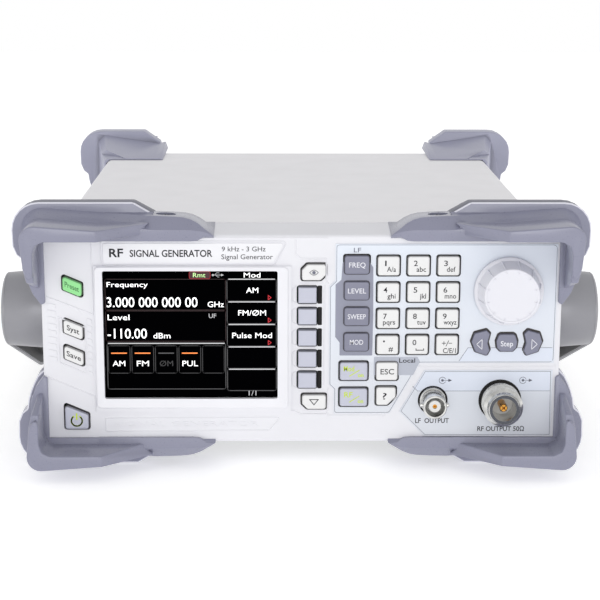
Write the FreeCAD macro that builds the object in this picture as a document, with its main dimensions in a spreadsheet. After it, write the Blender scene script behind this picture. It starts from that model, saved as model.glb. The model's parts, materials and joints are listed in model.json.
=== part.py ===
"""RF signal generator: a half-rack bench instrument with corner bumpers and a carrying handle.

Frame: +X to the right seen from the front, +Y to the back, +Z up, millimetres.
The origin is on the table under the middle of the whole object.
"""
import FreeCAD, Part
import math
import os
import Sketcher

V = FreeCAD.Vector
doc = FreeCAD.newDocument("rf_signal_generator")

# Driving dimensions. Depths are measured back from the bezel's front face unless a name says more.
DIMENSIONS = [
    # overall
    ("front_plane", -141.0),       # where the bezel's front face is, from the object's middle
    ("mid_height", 55.0),          # half of the height over the bumpers
    ("gap", 0.35),                 # moulding gap round a key
    # bezel
    ("bezel_width", 210.0), ("bezel_half_front", 43.1), ("bezel_half_back", 45.0),
    ("bezel_depth", 17.4), ("bezel_wall", 2.6),
    ("frame_proud", 1.0),          # the raised surround of the display
    # display
    ("window_left", -80.2), ("window_bottom", 30.5), ("window_width", 70.3), ("window_height", 53.1),
    ("lens_thick", 2.0), ("lens_front", 0.6), ("lens_play", 0.1),
    ("module_width", 78.0), ("module_height", 62.0), ("module_front", 2.8),
    # overlays and key board
    ("film", 0.4), ("connector_film", 0.5),
    ("board_front", 10.0), ("board_thick", 1.6), ("board_width", 200.0), ("board_height", 76.0),
    # keys
    ("key_back", 3.4), ("key_cap", 5.1), ("stem_radius", 1.6), ("stem_length", 5.1),
    ("slant_width", 8.2), ("slant_side", 6.3), ("slant_drop", 3.5),
    ("left_keys_x", -92.3), ("preset_z", 77.3), ("system_z", 59.6), ("save_z", 48.65),
    ("power_x", -91.85), ("power_z", 23.1), ("power_width", 10.1), ("power_left", 11.3), ("power_right", 6.6),
    ("soft_x", 2.1), ("soft_top_z", 73.75), ("soft_pitch", 8.86), ("soft_width", 7.95), ("soft_height", 7.1),
    ("view_x", 4.65), ("view_z", 83.15), ("view_width", 10.2), ("view_height", 7.1),
    ("down_x", 4.9), ("down_z", 29.15), ("down_width", 10.3), ("down_height", 6.6), ("soft_cut", 2.4),
    ("function_x", 21.9), ("function_top_z", 86.2), ("function_pitch", 10.63),
    ("function_width", 10.5), ("function_height", 8.1),
    ("enable_x", 21.0), ("enable_top_z", 42.1), ("enable_pitch", 11.0), ("enable_width", 11.8),
    ("escape_x", 34.5), ("escape_width", 9.3), ("help_x", 34.25), ("help_z", 31.6), ("help_width", 8.5),
    ("help_cut", 3.6), ("small_height", 8.1),
    ("digit_x", 34.6), ("digit_top_z", 85.8), ("digit_pitch_x", 12.05), ("digit_pitch_z", 10.89),
    ("digit_width", 9.3), ("digit_height", 8.4), ("key_corner", 1.2),
    ("arrow_left_x", 72.4), ("step_x", 83.0), ("arrow_right_x", 93.6), ("arrow_z", 53.95),
    ("arrow_width", 8.3), ("arrow_height", 11.7), ("arrow_cut", 2.6), ("step_width", 9.5), ("step_height", 8.1),
    # knob and encoder
    ("knob_x", 83.1), ("knob_z", 75.5), ("knob_back", -0.9), ("knob_skirt", 14.0), ("knob_body", 12.6),
    ("knob_face", 11.2), ("knob_height", 10.8), ("skirt_thick", 1.8),
    ("shaft_radius", 3.0), ("shaft_length", 3.3), ("shaft_play", 0.05),
    ("bushing_radius", 4.4), ("encoder_side", 13.0),
    # front connectors
    ("lf_x", 53.5), ("connector_z", 29.6), ("bnc_radius", 4.83), ("bnc_length", 11.0), ("bnc_nut", 5.4),
    ("bnc_body", 5.9), ("rf_x", 81.0), ("n_radius", 7.94), ("n_length", 14.5), ("n_flange", 8.6),
    ("n_nose", 6.05), ("n_body", 7.4), ("connector_play", 0.2), ("connector_reach", 15.0),
    # case
    ("case_front", 17.6), ("case_back", 227.0), ("cover_half_width", 98.6), ("cover_top", 100.2),
    ("cover_sheet", 1.2), ("chassis_half_width", 96.9), ("chassis_bottom", 9.9),
    ("vent_width", 2.4), ("vent_height", 30.0), ("vent_pitch", 5.6), ("vent_count", 12), ("vent_start", 112.0),
    # rear panel
    ("rear_half_width", 98.0), ("rear_bottom", 13.0), ("rear_top", 97.0), ("rear_face", 246.0),
    ("rear_sheet", 1.5),
    ("inlet_x", -68.0), ("inlet_z", 34.0), ("inlet_width", 27.0), ("inlet_height", 20.0),
    ("inlet_flange", 50.0), ("inlet_flange_height", 23.0), ("socket_width", 24.0), ("socket_height", 16.6),
    ("socket_depth", 16.0),
    ("rear_bnc_x", -85.0), ("rear_bnc_z", 82.0), ("rear_bnc_pitch", 16.0), ("rear_bnc_count", 6),
    ("fan_x", 55.0), ("fan_z", 55.0), ("fan_side", 60.0), ("fan_depth", 15.0), ("fan_bore", 28.2),
    ("fan_motor", 11.0), ("rotor_hub", 12.0), ("rotor_tip", 27.2), ("rotor_depth", 8.0), ("blade_count", 7),
    # bumpers, measured from the body's middle height
    ("bumper_half_width", 117.4), ("lip_reach", 18.2), ("plate_back", 8.2), ("flange_back", 17.7),
    ("plate_half_width", 110.0), ("bumper_inner_x", 105.15), ("skirt_end", 62.0),
    ("rear_reference", 262.2), ("rear_tail", 66.0), ("front_tail", 36.0), ("tail_screw_x", 55.0),
    ("tail_screw_y", 10.3), ("screw_recess", 3.6),
    # handle
    ("hub_y", 58.6), ("hub_z", 54.4), ("hub_radius", 16.0), ("hub_inner", 100.8), ("handle_half_width", 130.75),
    ("arm_inner", 118.4), ("arm_skin", 127.2), ("grip_near", 229.6), ("grip_far", 241.6), ("grip_top", -33.8),
    ("grip_foot", -51.8), ("pivot_radius", 5.0), ("pivot_play", 0.06), ("pivot_end", 112.0),
    # screws
    ("screw_head", 2.9), ("screw_head_height", 2.0), ("screw_shank", 1.5), ("screw_length", 6.0),
]


def make_sheet():
    """The spreadsheet of driving dimensions, one named plain number a row."""
    sheet = doc.addObject("Spreadsheet::Sheet", "dims")
    for row, (alias, value) in enumerate(DIMENSIONS, start=1):
        sheet.set("A%d" % row, alias)
        sheet.set("B%d" % row, str(value))
        sheet.setAlias("B%d" % row, alias)
    doc.recompute()
    return sheet


dims = make_sheet()
subparts = []


def size(alias):
    """The number that a driving dimension holds."""
    return float(dims.get(alias))


def bind(item, **bindings):
    """Bind properties of an object to expressions; a double underscore stands for a dot."""
    for name, expression in bindings.items():
        item.setExpression(name.replace("__", "."), expression)


def move_to(item, x="0", y="0", z="0"):
    bind(item, Placement__Base__x=x, Placement__Base__y=y, Placement__Base__z=z)


def new_body(label, x="0", y="dims.front_plane", z="0"):
    """A body for one sub-part, placed by expressions and listed for export."""
    body = doc.addObject("PartDesign::Body", label)
    body.Label = label
    move_to(body, x, y, z)
    subparts.append(body)
    return body


def plane_of(body, role):
    """One of the body's own origin planes."""
    return next(item for item in body.Origin.OriginFeatures if item.Role == role)


def new_sketch(body, role, offset="0"):
    """A sketch on one of the body's own origin planes, moved along the plane's normal."""
    sketch = body.newObject("Sketcher::SketchObject", body.Name + "_sketch")
    sketch.AttachmentSupport = [(plane_of(body, role), "")]
    sketch.MapMode = "FlatFace"
    bind(sketch, AttachmentOffset__Base__z=offset)
    return sketch


def outline(sketch, start, steps):
    """A closed loop. A step is the next point, or (point on the arc, end point) for an arc."""
    first = sketch.GeometryCount
    here = start
    for step in steps:
        if isinstance(step[0], tuple):
            middle, end = step
            arc = Part.Arc(V(*here, 0), V(*middle, 0), V(*end, 0))
            sketch.addGeometry(arc, False)
        else:
            end = step
            sketch.addGeometry(Part.LineSegment(V(*here, 0), V(*end, 0)), False)
        here = end
    return first


def polygon(sketch, points):
    """A closed polygon with its corners joined; gives the index of its first side."""
    first = outline(sketch, points[0], points[1:] + points[:1])
    count = len(points)
    for side in range(count):
        following = first + (side + 1) % count
        sketch.addConstraint(Sketcher.Constraint("Coincident", first + side, 2, following, 1))
    return first


def rectangle(sketch, left, bottom, right, top):
    return polygon(sketch, [(left, bottom), (right, bottom), (right, top), (left, top)])


def circle(sketch, x, z, radius):
    return sketch.addGeometry(Part.Circle(V(x, z, 0), V(0, 0, 1), radius), False)


def measure(sketch, kind, *where, to):
    """A dimension in the sketch that follows an expression."""
    ends = []
    for side, end in (where[0:2], where[2:4]):
        geometry = sketch.Geometry[side]
        ends.append(geometry.StartPoint if end == 1 else geometry.EndPoint)
    apart = ends[1] - ends[0]
    start = apart.x if kind == "DistanceX" else apart.y
    index = sketch.addConstraint(Sketcher.Constraint(kind, *where, start))
    sketch.setExpression("Constraints[%d]" % index, to)


def pad(body, sketch, length, back=False, middle=False):
    feature = body.newObject("PartDesign::Pad", body.Name + "_pad")
    feature.Profile = sketch
    feature.Reversed = back
    feature.Midplane = middle
    bind(feature, Length=length)
    doc.recompute()
    return feature


def pocket(body, sketch, length, back=False, middle=False):
    """A cut that has to take something away, or it points the wrong way."""
    before = body.Shape.Volume
    feature = body.newObject("PartDesign::Pocket", body.Name + "_pocket")
    feature.Profile = sketch
    feature.Reversed = back
    feature.Midplane = middle
    bind(feature, Length=length)
    doc.recompute()
    if body.Shape.Volume > before - 1e-6:
        raise RuntimeError("a pocket of %s cuts nothing" % body.Label)
    return feature


def turned(body, points):
    """A solid of revolution about the body's Y axis from (radius, y) points."""
    sketch = new_sketch(body, "XY_Plane")
    polygon(sketch, points)
    feature = body.newObject("PartDesign::Revolution", body.Name + "_turned")
    feature.Profile = sketch
    feature.ReferenceAxis = (sketch, ["V_Axis"])
    feature.Angle = 360
    doc.recompute()
    return feature


def edges_along(shape, direction, test=lambda middle: True):
    """Names of the straight edges parallel to a direction whose middle passes the test."""
    names = []
    for number, edge in enumerate(shape.Edges, start=1):
        if edge.Curve.TypeId != "Part::GeomLine":
            continue
        run = edge.Vertexes[-1].Point - edge.Vertexes[0].Point
        if run.Length > 1e-6 and run.normalize().cross(direction).Length < 1e-6:
            if test(edge.valueAt((edge.FirstParameter + edge.LastParameter) / 2)):
                names.append("Edge%d" % number)
    return names


def dress(body, kind, feature, names, amount):
    """A PartDesign fillet or chamfer on named edges."""
    item = body.newObject("PartDesign::" + kind, body.Name + "_" + kind.lower())
    item.Base = (feature, names)
    bind(item, **{"Radius" if kind == "Fillet" else "Size": amount})
    doc.recompute()
    return item


def rounded_loop(sketch, points, radius):
    """A closed convex loop whose corners are arcs."""
    count = len(points)
    corners = []
    for index in range(count):
        corner = V(*points[index], 0)
        before = (V(*points[index - 1], 0) - corner).normalize()
        after = (V(*points[(index + 1) % count], 0) - corner).normalize()
        half_angle = before.getAngle(after) / 2
        reach = radius / math.tan(half_angle)
        inward = radius / math.sin(half_angle) - radius
        touch = corner + (before + after).normalize() * inward
        corners.append((corner + before * reach, touch, corner + after * reach))
    start = (corners[-1][2].x, corners[-1][2].y)
    path = []
    for enter, touch, leave in corners:
        path.append((enter.x, enter.y))
        path.append(((touch.x, touch.y), (leave.x, leave.y)))
    outline(sketch, start, path)


# Keys: name, x, z, width, height, corners cut off as (x side, z side), and how much is cut.
KEYS = []


def add_key(name, x, z, width, height, cuts=(), cut=None, kind="straight"):
    KEYS.append({"name": name, "x": x, "z": z, "width": width, "height": height,
                 "cuts": cuts, "cut": cut, "kind": kind})


def list_keys():
    for name in ("preset", "system", "save"):
        add_key(name + "_key", "dims.left_keys_x", "dims.%s_z" % name, "slant_width", "slant_side", kind="slanted")
    add_key("power_key", "dims.power_x", "dims.power_z", "power_width", "power_left", kind="power")
    add_key("view_key", "dims.view_x", "dims.view_z", "view_width", "view_height", ((-1, 1), (1, -1)), "soft_cut")
    for row in range(5):
        add_key("soft_key_%d" % (row + 1), "dims.soft_x", "dims.soft_top_z - %d * dims.soft_pitch" % row,
                "soft_width", "soft_height")
    add_key("page_down_key", "dims.down_x", "dims.down_z", "down_width", "down_height", ((-1, -1),), "soft_cut")
    for row, name in enumerate(("frequency", "level", "sweep", "modulation")):
        add_key(name + "_key", "dims.function_x", "dims.function_top_z - %d * dims.function_pitch" % row,
                "function_width", "function_height")
    for row, name in enumerate(("modulation_on", "rf_on")):
        add_key(name + "_key", "dims.enable_x", "dims.enable_top_z - %d * dims.enable_pitch" % row,
                "enable_width", "small_height")
    add_key("escape_key", "dims.escape_x", "dims.enable_top_z", "escape_width", "small_height")
    add_key("help_key", "dims.help_x", "dims.help_z", "help_width", "small_height", ((1, -1),), "help_cut")
    for place, name in enumerate(("1", "2", "3", "4", "5", "6", "7", "8", "9", "point", "0", "sign")):
        add_key("digit_%s_key" % name, "dims.digit_x + %d * dims.digit_pitch_x" % (place % 3),
                "dims.digit_top_z - %d * dims.digit_pitch_z" % (place // 3), "digit_width", "digit_height")
    add_key("arrow_left_key", "dims.arrow_left_x", "dims.arrow_z", "arrow_width", "arrow_height",
            ((-1, 1), (-1, -1)), "arrow_cut")
    add_key("step_key", "dims.step_x", "dims.arrow_z", "step_width", "step_height")
    add_key("arrow_right_key", "dims.arrow_right_x", "dims.arrow_z", "arrow_width", "arrow_height",
            ((1, 1), (1, -1)), "arrow_cut")


def key_points(key, grow):
    """Corners of a key's outline about its centre, counter-clockwise, grown all round."""
    half_width = size(key["width"]) / 2 + grow
    half_height = size(key["height"]) / 2 + grow
    if key["kind"] == "slanted":
        drop = size("slant_drop") / 2 * half_width / (half_width - grow)
        return [(-half_width, drop - half_height), (half_width, -drop - half_height),
                (half_width, half_height - drop), (-half_width, half_height + drop)]
    if key["kind"] == "power":
        right_top = size("power_right") - size("power_left") / 2 + grow
        return [(-half_width, -half_height), (half_width, -half_height),
                (half_width, right_top), (-half_width, half_height)]
    points = []
    for side_x, side_z in ((-1, -1), (1, -1), (1, 1), (-1, 1)):
        corner = (side_x * half_width, side_z * half_height)
        if (side_x, side_z) not in key["cuts"]:
            points.append(corner)
            continue
        cut = size(key["cut"])
        along_x = (corner[0] - side_x * cut, corner[1])
        along_z = (corner[0], corner[1] - side_z * cut)
        points += [along_z, along_x] if side_x * side_z > 0 else [along_x, along_z]
    return points


def key_centre(key):
    """Where a key that is already made has its centre."""
    base = key["body"].Placement.Base
    return base.x, base.z


def key_openings(sketch, grow):
    """The openings for all the keys in a front sheet."""
    for key in KEYS:
        x, z = key_centre(key)
        points = [(x + px, z + pz) for px, pz in key_points(key, grow)]
        rounded_loop(sketch, points, size("key_corner"))


def make_key(key):
    """A key: the cap that shows, and the stem that presses the contact behind it."""
    body = new_body(key["name"], key["x"], "dims.front_plane + dims.key_back", key["z"])
    key["body"] = body
    sketch = new_sketch(body, "XZ_Plane")
    half_width = size(key["width"]) / 2
    half_height = size(key["height"]) / 2
    corners = [(-half_width, -half_height), (half_width, -half_height),
               (half_width, half_height), (-half_width, half_height)]
    if key["kind"] != "straight":
        corners = key_points(key, 0)
    bottom = polygon(sketch, corners)
    right, top, left = bottom + 1, bottom + 2, bottom + 3
    sketch.addConstraint(Sketcher.Constraint("Vertical", left))
    sketch.addConstraint(Sketcher.Constraint("Vertical", right))
    if key["kind"] != "slanted":
        sketch.addConstraint(Sketcher.Constraint("Horizontal", bottom))
    if key["kind"] == "straight":
        sketch.addConstraint(Sketcher.Constraint("Horizontal", top))
    if key["kind"] != "power":
        sketch.addConstraint(Sketcher.Constraint("Symmetric", bottom, 1, top, 1, -1, 1))
    measure(sketch, "DistanceX", bottom, 1, bottom, 2, to="dims." + key["width"])
    measure(sketch, "DistanceY", left, 2, left, 1, to="dims." + key["height"])
    if key["kind"] == "slanted":
        measure(sketch, "DistanceY", bottom, 2, bottom, 1, to="dims.slant_drop")
    if key["kind"] == "power":
        measure(sketch, "DistanceY", right, 1, right, 2, to="dims.power_right")
    cap = pad(body, sketch, "dims.key_cap")
    depth = V(0, 1, 0)
    for side_x, side_z in key["cuts"]:
        names = edges_along(cap.Shape, depth, lambda p: p.x * side_x > half_width * 0.9
                            and p.z * side_z > half_height * 0.9)
        cap = dress(body, "Chamfer", cap, names, "dims." + key["cut"])
    cap = dress(body, "Fillet", cap, edges_along(cap.Shape, depth), "dims.key_corner")
    stem = new_sketch(body, "XZ_Plane")
    circle(stem, 0, 0, size("stem_radius"))
    pad(body, stem, "dims.stem_length", back=True)


# ---------------------------------------------------------------- front

def make_front_bezel():
    """The white moulded front: a tapered shell with a raised surround and all its openings."""
    body = new_body("front_bezel")
    side = new_sketch(body, "YZ_Plane")
    middle = size("mid_height")
    polygon(side, [(0, middle - size("bezel_half_front")), (size("bezel_depth"), middle - size("bezel_half_back")),
                   (size("bezel_depth"), middle + size("bezel_half_back")), (0, middle + size("bezel_half_front"))])
    block = pad(body, side, "dims.bezel_width", middle=True)
    upright = edges_along(block.Shape, V(0, 0, 1), lambda p: p.y < 1)
    across = edges_along(block.Shape, V(1, 0, 0), lambda p: p.y < 1)
    dress(body, "Fillet", block, upright + across, "1.4")
    inside = new_sketch(body, "XZ_Plane", "-dims.bezel_wall")
    half_width = size("bezel_width") / 2 - 2.2
    half_height = size("bezel_half_front") - 2.2
    rectangle(inside, -half_width, middle - half_height, half_width, middle + half_height)
    pocket(body, inside, "dims.bezel_depth")
    surround = new_sketch(body, "XZ_Plane")
    window = [size("window_left"), size("window_bottom"), size("window_left") + size("window_width"),
              size("window_bottom") + size("window_height")]
    rectangle(surround, window[0] - 3.5, window[1] - 5.5, window[2] + 5.5, window[3] + 2.0)
    rectangle(surround, *window)
    pad(body, surround, "dims.frame_proud")
    openings = new_sketch(body, "XZ_Plane", "3")
    key_openings(openings, size("gap"))
    rectangle(openings, *window)
    circle(openings, size("knob_x"), size("knob_z"), size("bushing_radius") + size("connector_play"))
    circle(openings, size("lf_x"), size("connector_z"), size("bnc_body") + size("connector_play"))
    circle(openings, size("rf_x"), size("connector_z"), size("n_body") + size("connector_play"))
    pocket(body, openings, "3 + dims.bezel_wall + 1")
    for x, z in boss_places():
        boss = new_sketch(body, "XZ_Plane", "-dims.bezel_wall")
        circle(boss, x, z, 2.2)
        pad(body, boss, "dims.board_front - dims.bezel_wall", back=True)
    screws = new_sketch(body, "XY_Plane", "dims.mid_height")
    for side_x in (-1, 1):
        circle(screws, side_x * size("tail_screw_x"), size("tail_screw_y"), size("screw_shank") + 0.1)
    pocket(body, screws, "dims.mid_height * 2", middle=True)


def boss_places():
    """Where the key board is screwed to the back of the bezel."""
    return [(side_x * 99.6, z) for side_x in (-1, 1) for z in (36.0, 68.5)]


def make_display():
    lens = new_body("display_window", y="dims.front_plane + dims.lens_front + dims.lens_thick")
    sketch = new_sketch(lens, "XZ_Plane")
    play = size("lens_play")
    left, bottom = size("window_left") + play, size("window_bottom") + play
    first = rectangle(sketch, left, bottom, left + size("window_width") - 2 * play,
                      bottom + size("window_height") - 2 * play)
    measure(sketch, "DistanceX", first, 1, first, 2, to="dims.window_width - 2 * dims.lens_play")
    measure(sketch, "DistanceY", first + 1, 1, first + 1, 2, to="dims.window_height - 2 * dims.lens_play")
    pad(lens, sketch, "dims.lens_thick")
    module = new_body("display_module", y="dims.front_plane + dims.board_front")
    sketch = new_sketch(module, "XZ_Plane")
    first = rectangle(sketch, -84.0, 26.0, -6.0, 88.0)
    measure(sketch, "DistanceX", first, 1, first, 2, to="dims.module_width")
    measure(sketch, "DistanceY", first + 1, 1, first + 1, 2, to="dims.module_height")
    pad(module, sketch, "dims.board_front - dims.module_front")


def make_keypad_overlay():
    """The printed film round the keys and the knob on the right of the display."""
    body = new_body("keypad_overlay")
    sketch = new_sketch(body, "XZ_Plane")
    polygon(sketch, [(13.0, 24.0), (35.9, 24.0), (47.9, 45.3), (102.6, 45.3), (102.6, 94.6), (13.4, 94.6),
                     (13.4, 79.6), (11.0, 77.2), (11.0, 36.2), (13.0, 34.2)])
    pad(body, sketch, "dims.film")
    holes = new_sketch(body, "XZ_Plane", "1")
    for key in KEYS:
        x, z = key_centre(key)
        if x > 13:
            grown = key_points(key, size("gap"))
            rounded_loop(holes, [(x + px, z + pz) for px, pz in grown], size("key_corner"))
    circle(holes, size("knob_x"), size("knob_z"), size("bushing_radius") + 1.0)
    pocket(body, holes, "2 + dims.film")


def make_connector_overlay():
    """The film under the two output sockets."""
    body = new_body("connector_overlay")
    sketch = new_sketch(body, "XZ_Plane")
    polygon(sketch, [(50.3, 14.4), (102.2, 14.4), (102.2, 42.2), (49.9, 42.2), (39.9, 24.8)])
    pad(body, sketch, "dims.connector_film")
    holes = new_sketch(body, "XZ_Plane", "1")
    circle(holes, size("lf_x"), size("connector_z"), size("bnc_body") + size("connector_play"))
    circle(holes, size("rf_x"), size("connector_z"), size("n_body") + size("connector_play"))
    pocket(body, holes, "2 + dims.connector_film")


def make_key_board():
    body = new_body("key_board", y="dims.front_plane + dims.board_front + dims.board_thick", z="dims.mid_height")
    sketch = new_sketch(body, "XZ_Plane")
    first = rectangle(sketch, -100.0, -38.0, 100.0, 38.0)
    measure(sketch, "DistanceX", first, 1, first, 2, to="dims.board_width")
    measure(sketch, "DistanceY", first + 1, 1, first + 1, 2, to="dims.board_height")
    lower = size("connector_z") - size("mid_height")
    circle(sketch, size("lf_x"), lower, size("bnc_body") + 1.0)
    circle(sketch, size("rf_x"), lower, size("n_body") + 1.0)
    pad(body, sketch, "dims.board_thick")


def make_knob():
    """The rotary knob, turned in one piece with the shaft that runs in the encoder."""
    body = new_body("control_knob", "dims.knob_x", "dims.front_plane + dims.knob_back", "dims.knob_z")
    height, skirt = size("knob_height"), size("skirt_thick")
    turned(body, [(0, -height + 0.6), (size("knob_face") - 1.6, -height + 0.6), (size("knob_face") - 0.8, -height),
                  (size("knob_face") - 0.2, -height), (size("knob_face") + 0.2, -height + 0.6),
                  (size("knob_body"), -skirt - 0.6), (size("knob_skirt"), -skirt), (size("knob_skirt"), 0),
                  (size("shaft_radius"), 0), (size("shaft_radius"), size("shaft_length")),
                  (0, size("shaft_length"))])
    encoder = new_body("knob_encoder", "dims.knob_x", "dims.front_plane", "dims.knob_z")
    case = new_sketch(encoder, "XZ_Plane", "-4")
    half = size("encoder_side") / 2
    rectangle(case, -half, -half, half, half)
    pad(encoder, case, "dims.board_front - 4", back=True)
    bush = new_sketch(encoder, "XZ_Plane", "-4")
    circle(bush, 0, 0, size("bushing_radius"))
    pad(encoder, bush, "4 + dims.film")
    hole = new_sketch(encoder, "XZ_Plane", "2")
    circle(hole, 0, 0, size("shaft_radius") + size("shaft_play"))
    pocket(encoder, hole, "2 + 3")


def make_front_connectors():
    """The LF output, a BNC socket, and the RF output, an N socket, turned hollow with a centre contact."""
    face = -size("connector_film")
    bnc = new_body("lf_output_socket", "dims.lf_x", z="dims.connector_z")
    radius, front = size("bnc_radius"), -size("bnc_length")
    guide = radius - 0.4
    turned(bnc, [(0, size("connector_reach")), (0, front + 3.5), (0.7, front + 3.5), (0.7, front + 1.6),
                 (2.4, front + 1.6), (2.4, front + 8.0), (radius - 0.8, front + 8.0), (radius - 0.8, front),
                 (radius, front), (radius, front + 2.5), (guide, front + 2.5), (guide, face - 0.9),
                 (size("bnc_nut"), face - 0.9), (size("bnc_nut"), face), (size("bnc_body"), face),
                 (size("bnc_body"), size("connector_reach"))])
    lugs = new_sketch(bnc, "YZ_Plane", "-5.9")
    circle(lugs, front + 3.6, 0, 0.95)
    pad(bnc, lugs, "1.6")
    lugs = new_sketch(bnc, "YZ_Plane", "4.3")
    circle(lugs, front + 3.6, 0, 0.95)
    pad(bnc, lugs, "1.6")
    socket = new_body("rf_output_socket", "dims.rf_x", z="dims.connector_z")
    radius, front = size("n_radius"), -size("n_length")
    turned(socket, [(0, size("connector_reach")), (0, front + 2.5), (1.7, front + 2.5), (1.7, front + 10.0),
                    (4.5, front + 10.0), (4.5, front), (size("n_nose"), front), (size("n_nose"), front + 3.0),
                    (radius, front + 3.6), (radius, face - 2.6), (size("n_flange"), face - 2.6),
                    (size("n_flange"), face), (size("n_body"), face), (size("n_body"), size("connector_reach"))])


# ---------------------------------------------------------------- case

def make_top_cover():
    """The folded cover: top and both sides in one sheet, open underneath, with vent slots in its sides."""
    body = new_body("top_cover")
    section = new_sketch(body, "XZ_Plane", "-dims.case_front")
    half, top, sheet = size("cover_half_width"), size("cover_top"), size("cover_sheet")
    foot = size("chassis_bottom") + 1.2
    bend = 3.0
    slope = bend * (1 - math.sqrt(0.5))
    thin = bend - sheet
    thin_slope = thin * (1 - math.sqrt(0.5))
    inner, roof = half - sheet, top - sheet
    outline(section, (-half, foot), [
        (-half, top - bend), ((-half + slope, top - slope), (-half + bend, top)),
        (half - bend, top), ((half - slope, top - slope), (half, top - bend)),
        (half, foot), (inner, foot),
        (inner, roof - thin), ((inner - thin_slope, roof - thin_slope), (inner - thin, roof)),
        (-inner + thin, roof), ((-inner + thin_slope, roof - thin_slope), (-inner, roof - thin)),
        (-inner, foot), (-half, foot)])
    pad(body, section, "dims.case_back - dims.case_front", back=True)
    vents = new_sketch(body, "YZ_Plane")
    for number in range(int(size("vent_count"))):
        front = size("vent_start") + number * size("vent_pitch")
        rectangle(vents, front, 42.0, front + size("vent_width"), 42.0 + size("vent_height"))
    pocket(body, vents, "dims.cover_half_width * 2 + 4", middle=True)


def make_bottom_chassis():
    """The chassis tray: floor, both sides and a front wall with a cable window."""
    body = new_body("bottom_chassis")
    half, floor, sheet = size("chassis_half_width"), size("chassis_bottom"), size("cover_sheet")
    section = new_sketch(body, "XZ_Plane", "-dims.case_front")
    rectangle(section, -half, floor, half, size("cover_top") - 2 * sheet)
    pad(body, section, "dims.case_back - dims.case_front", back=True)
    inside = new_sketch(body, "XZ_Plane", "-dims.case_front - dims.cover_sheet")
    rectangle(inside, sheet - half, floor + sheet, half - sheet, size("cover_top"))
    pocket(body, inside, "dims.case_back")
    window = new_sketch(body, "XZ_Plane", "5")
    rectangle(window, -60.0, 42.0, 60.0, 84.0)
    circle(window, size("lf_x"), size("connector_z"), size("bnc_body") + 1.5)
    circle(window, size("rf_x"), size("connector_z"), size("n_body") + 1.5)
    pocket(body, window, "dims.case_front + 10")
    vents = new_sketch(body, "YZ_Plane")
    rectangle(vents, size("vent_start") - 2, 40.0, size("vent_start") + 67.0, 74.0)
    pocket(body, vents, "dims.cover_half_width * 2 + 4", middle=True)


def make_rear_panel():
    """The rear panel: a shallow metal box with the openings of the rear connectors and the fan."""
    body = new_body("rear_panel")
    half, low, high = size("rear_half_width"), size("rear_bottom"), size("rear_top")
    sheet = size("rear_sheet")
    section = new_sketch(body, "XZ_Plane", "-dims.case_back")
    rectangle(section, -half, low, half, high)
    pad(body, section, "dims.rear_face - dims.case_back", back=True)
    inside = new_sketch(body, "XZ_Plane", "-dims.case_back")
    rectangle(inside, sheet - half, low + sheet, half - sheet, high - sheet)
    pocket(body, inside, "dims.rear_face - dims.case_back - dims.rear_sheet")
    openings = new_sketch(body, "XZ_Plane", "-dims.case_back")
    inlet_half, inlet_rise = size("inlet_width") / 2 + 0.1, size("inlet_height") / 2 + 0.1
    rectangle(openings, size("inlet_x") - inlet_half, size("inlet_z") - inlet_rise,
              size("inlet_x") + inlet_half, size("inlet_z") + inlet_rise)
    for number in range(int(size("rear_bnc_count"))):
        circle(openings, size("rear_bnc_x") + number * size("rear_bnc_pitch"), size("rear_bnc_z"), 4.9)
    for left, bottom, wide, tall in data_ports():
        rectangle(openings, left - 0.2, bottom - 0.2, left + wide + 0.2, bottom + tall + 0.2)
    for number in range(-4, 5):
        middle = size("fan_x") + number * 6.0
        rise = math.sqrt(26.0 ** 2 - (number * 6.0) ** 2)
        rectangle(openings, middle - 1.6, size("fan_z") - rise, middle + 1.6, size("fan_z") + rise)
    for side_x, z in rear_screws():
        circle(openings, side_x, z, size("screw_shank") + 0.1)
    pocket(body, openings, "dims.rear_face")


def data_ports():
    """Left, bottom, width and height of the ports on the back edge of the main board."""
    return [(-30.0, 23.6, 12.0, 11.0), (-8.0, 23.6, 16.0, 13.5)]


def rear_screws():
    return [(side_x * 91.0, z) for side_x in (-1, 1) for z in (19.0, 91.0)]


def make_main_board():
    """The main board with its shielded RF section, heat sink and ports."""
    body = new_body("main_board")
    under, top = 22.0, 23.6
    board = new_sketch(body, "XY_Plane", "22")
    polygon(board, [(-42, 24), (94, 24), (94, 220), (12, 220), (12, 243.5), (-42, 243.5)])
    pad(body, board, "%g" % (top - under))
    for left, front, right, back, height in ((28, 32, 92, 96, 18), (28, 102, 92, 150, 14), (-30, 60, 8, 98, 9),
                                             (-30, 120, 2, 150, 12), (40, 165, 84, 205, 7)):
        block = new_sketch(body, "XY_Plane", "23.6")
        rectangle(block, left, front, right, back)
        pad(body, block, str(height))
    for left, bottom, wide, tall in data_ports():
        port = new_sketch(body, "XY_Plane", "23.6")
        rectangle(port, left, 230, left + wide, size("rear_face") + 0.5)
        pad(body, port, str(tall))


def make_power_supply():
    """The power supply: board, transformer, capacitors and heat sinks."""
    body = new_body("power_supply")
    board = new_sketch(body, "XY_Plane", "20")
    rectangle(board, -93, 110, -47, 220)
    pad(body, board, "1.6")
    for left, front, right, back, height in ((-90, 116, -58, 150, 30), (-56, 114, -50, 170, 26),
                                             (-90, 158, -70, 178, 34), (-90, 186, -60, 214, 24)):
        block = new_sketch(body, "XY_Plane", "21.6")
        rectangle(block, left, front, right, back)
        pad(body, block, str(height))


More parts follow.
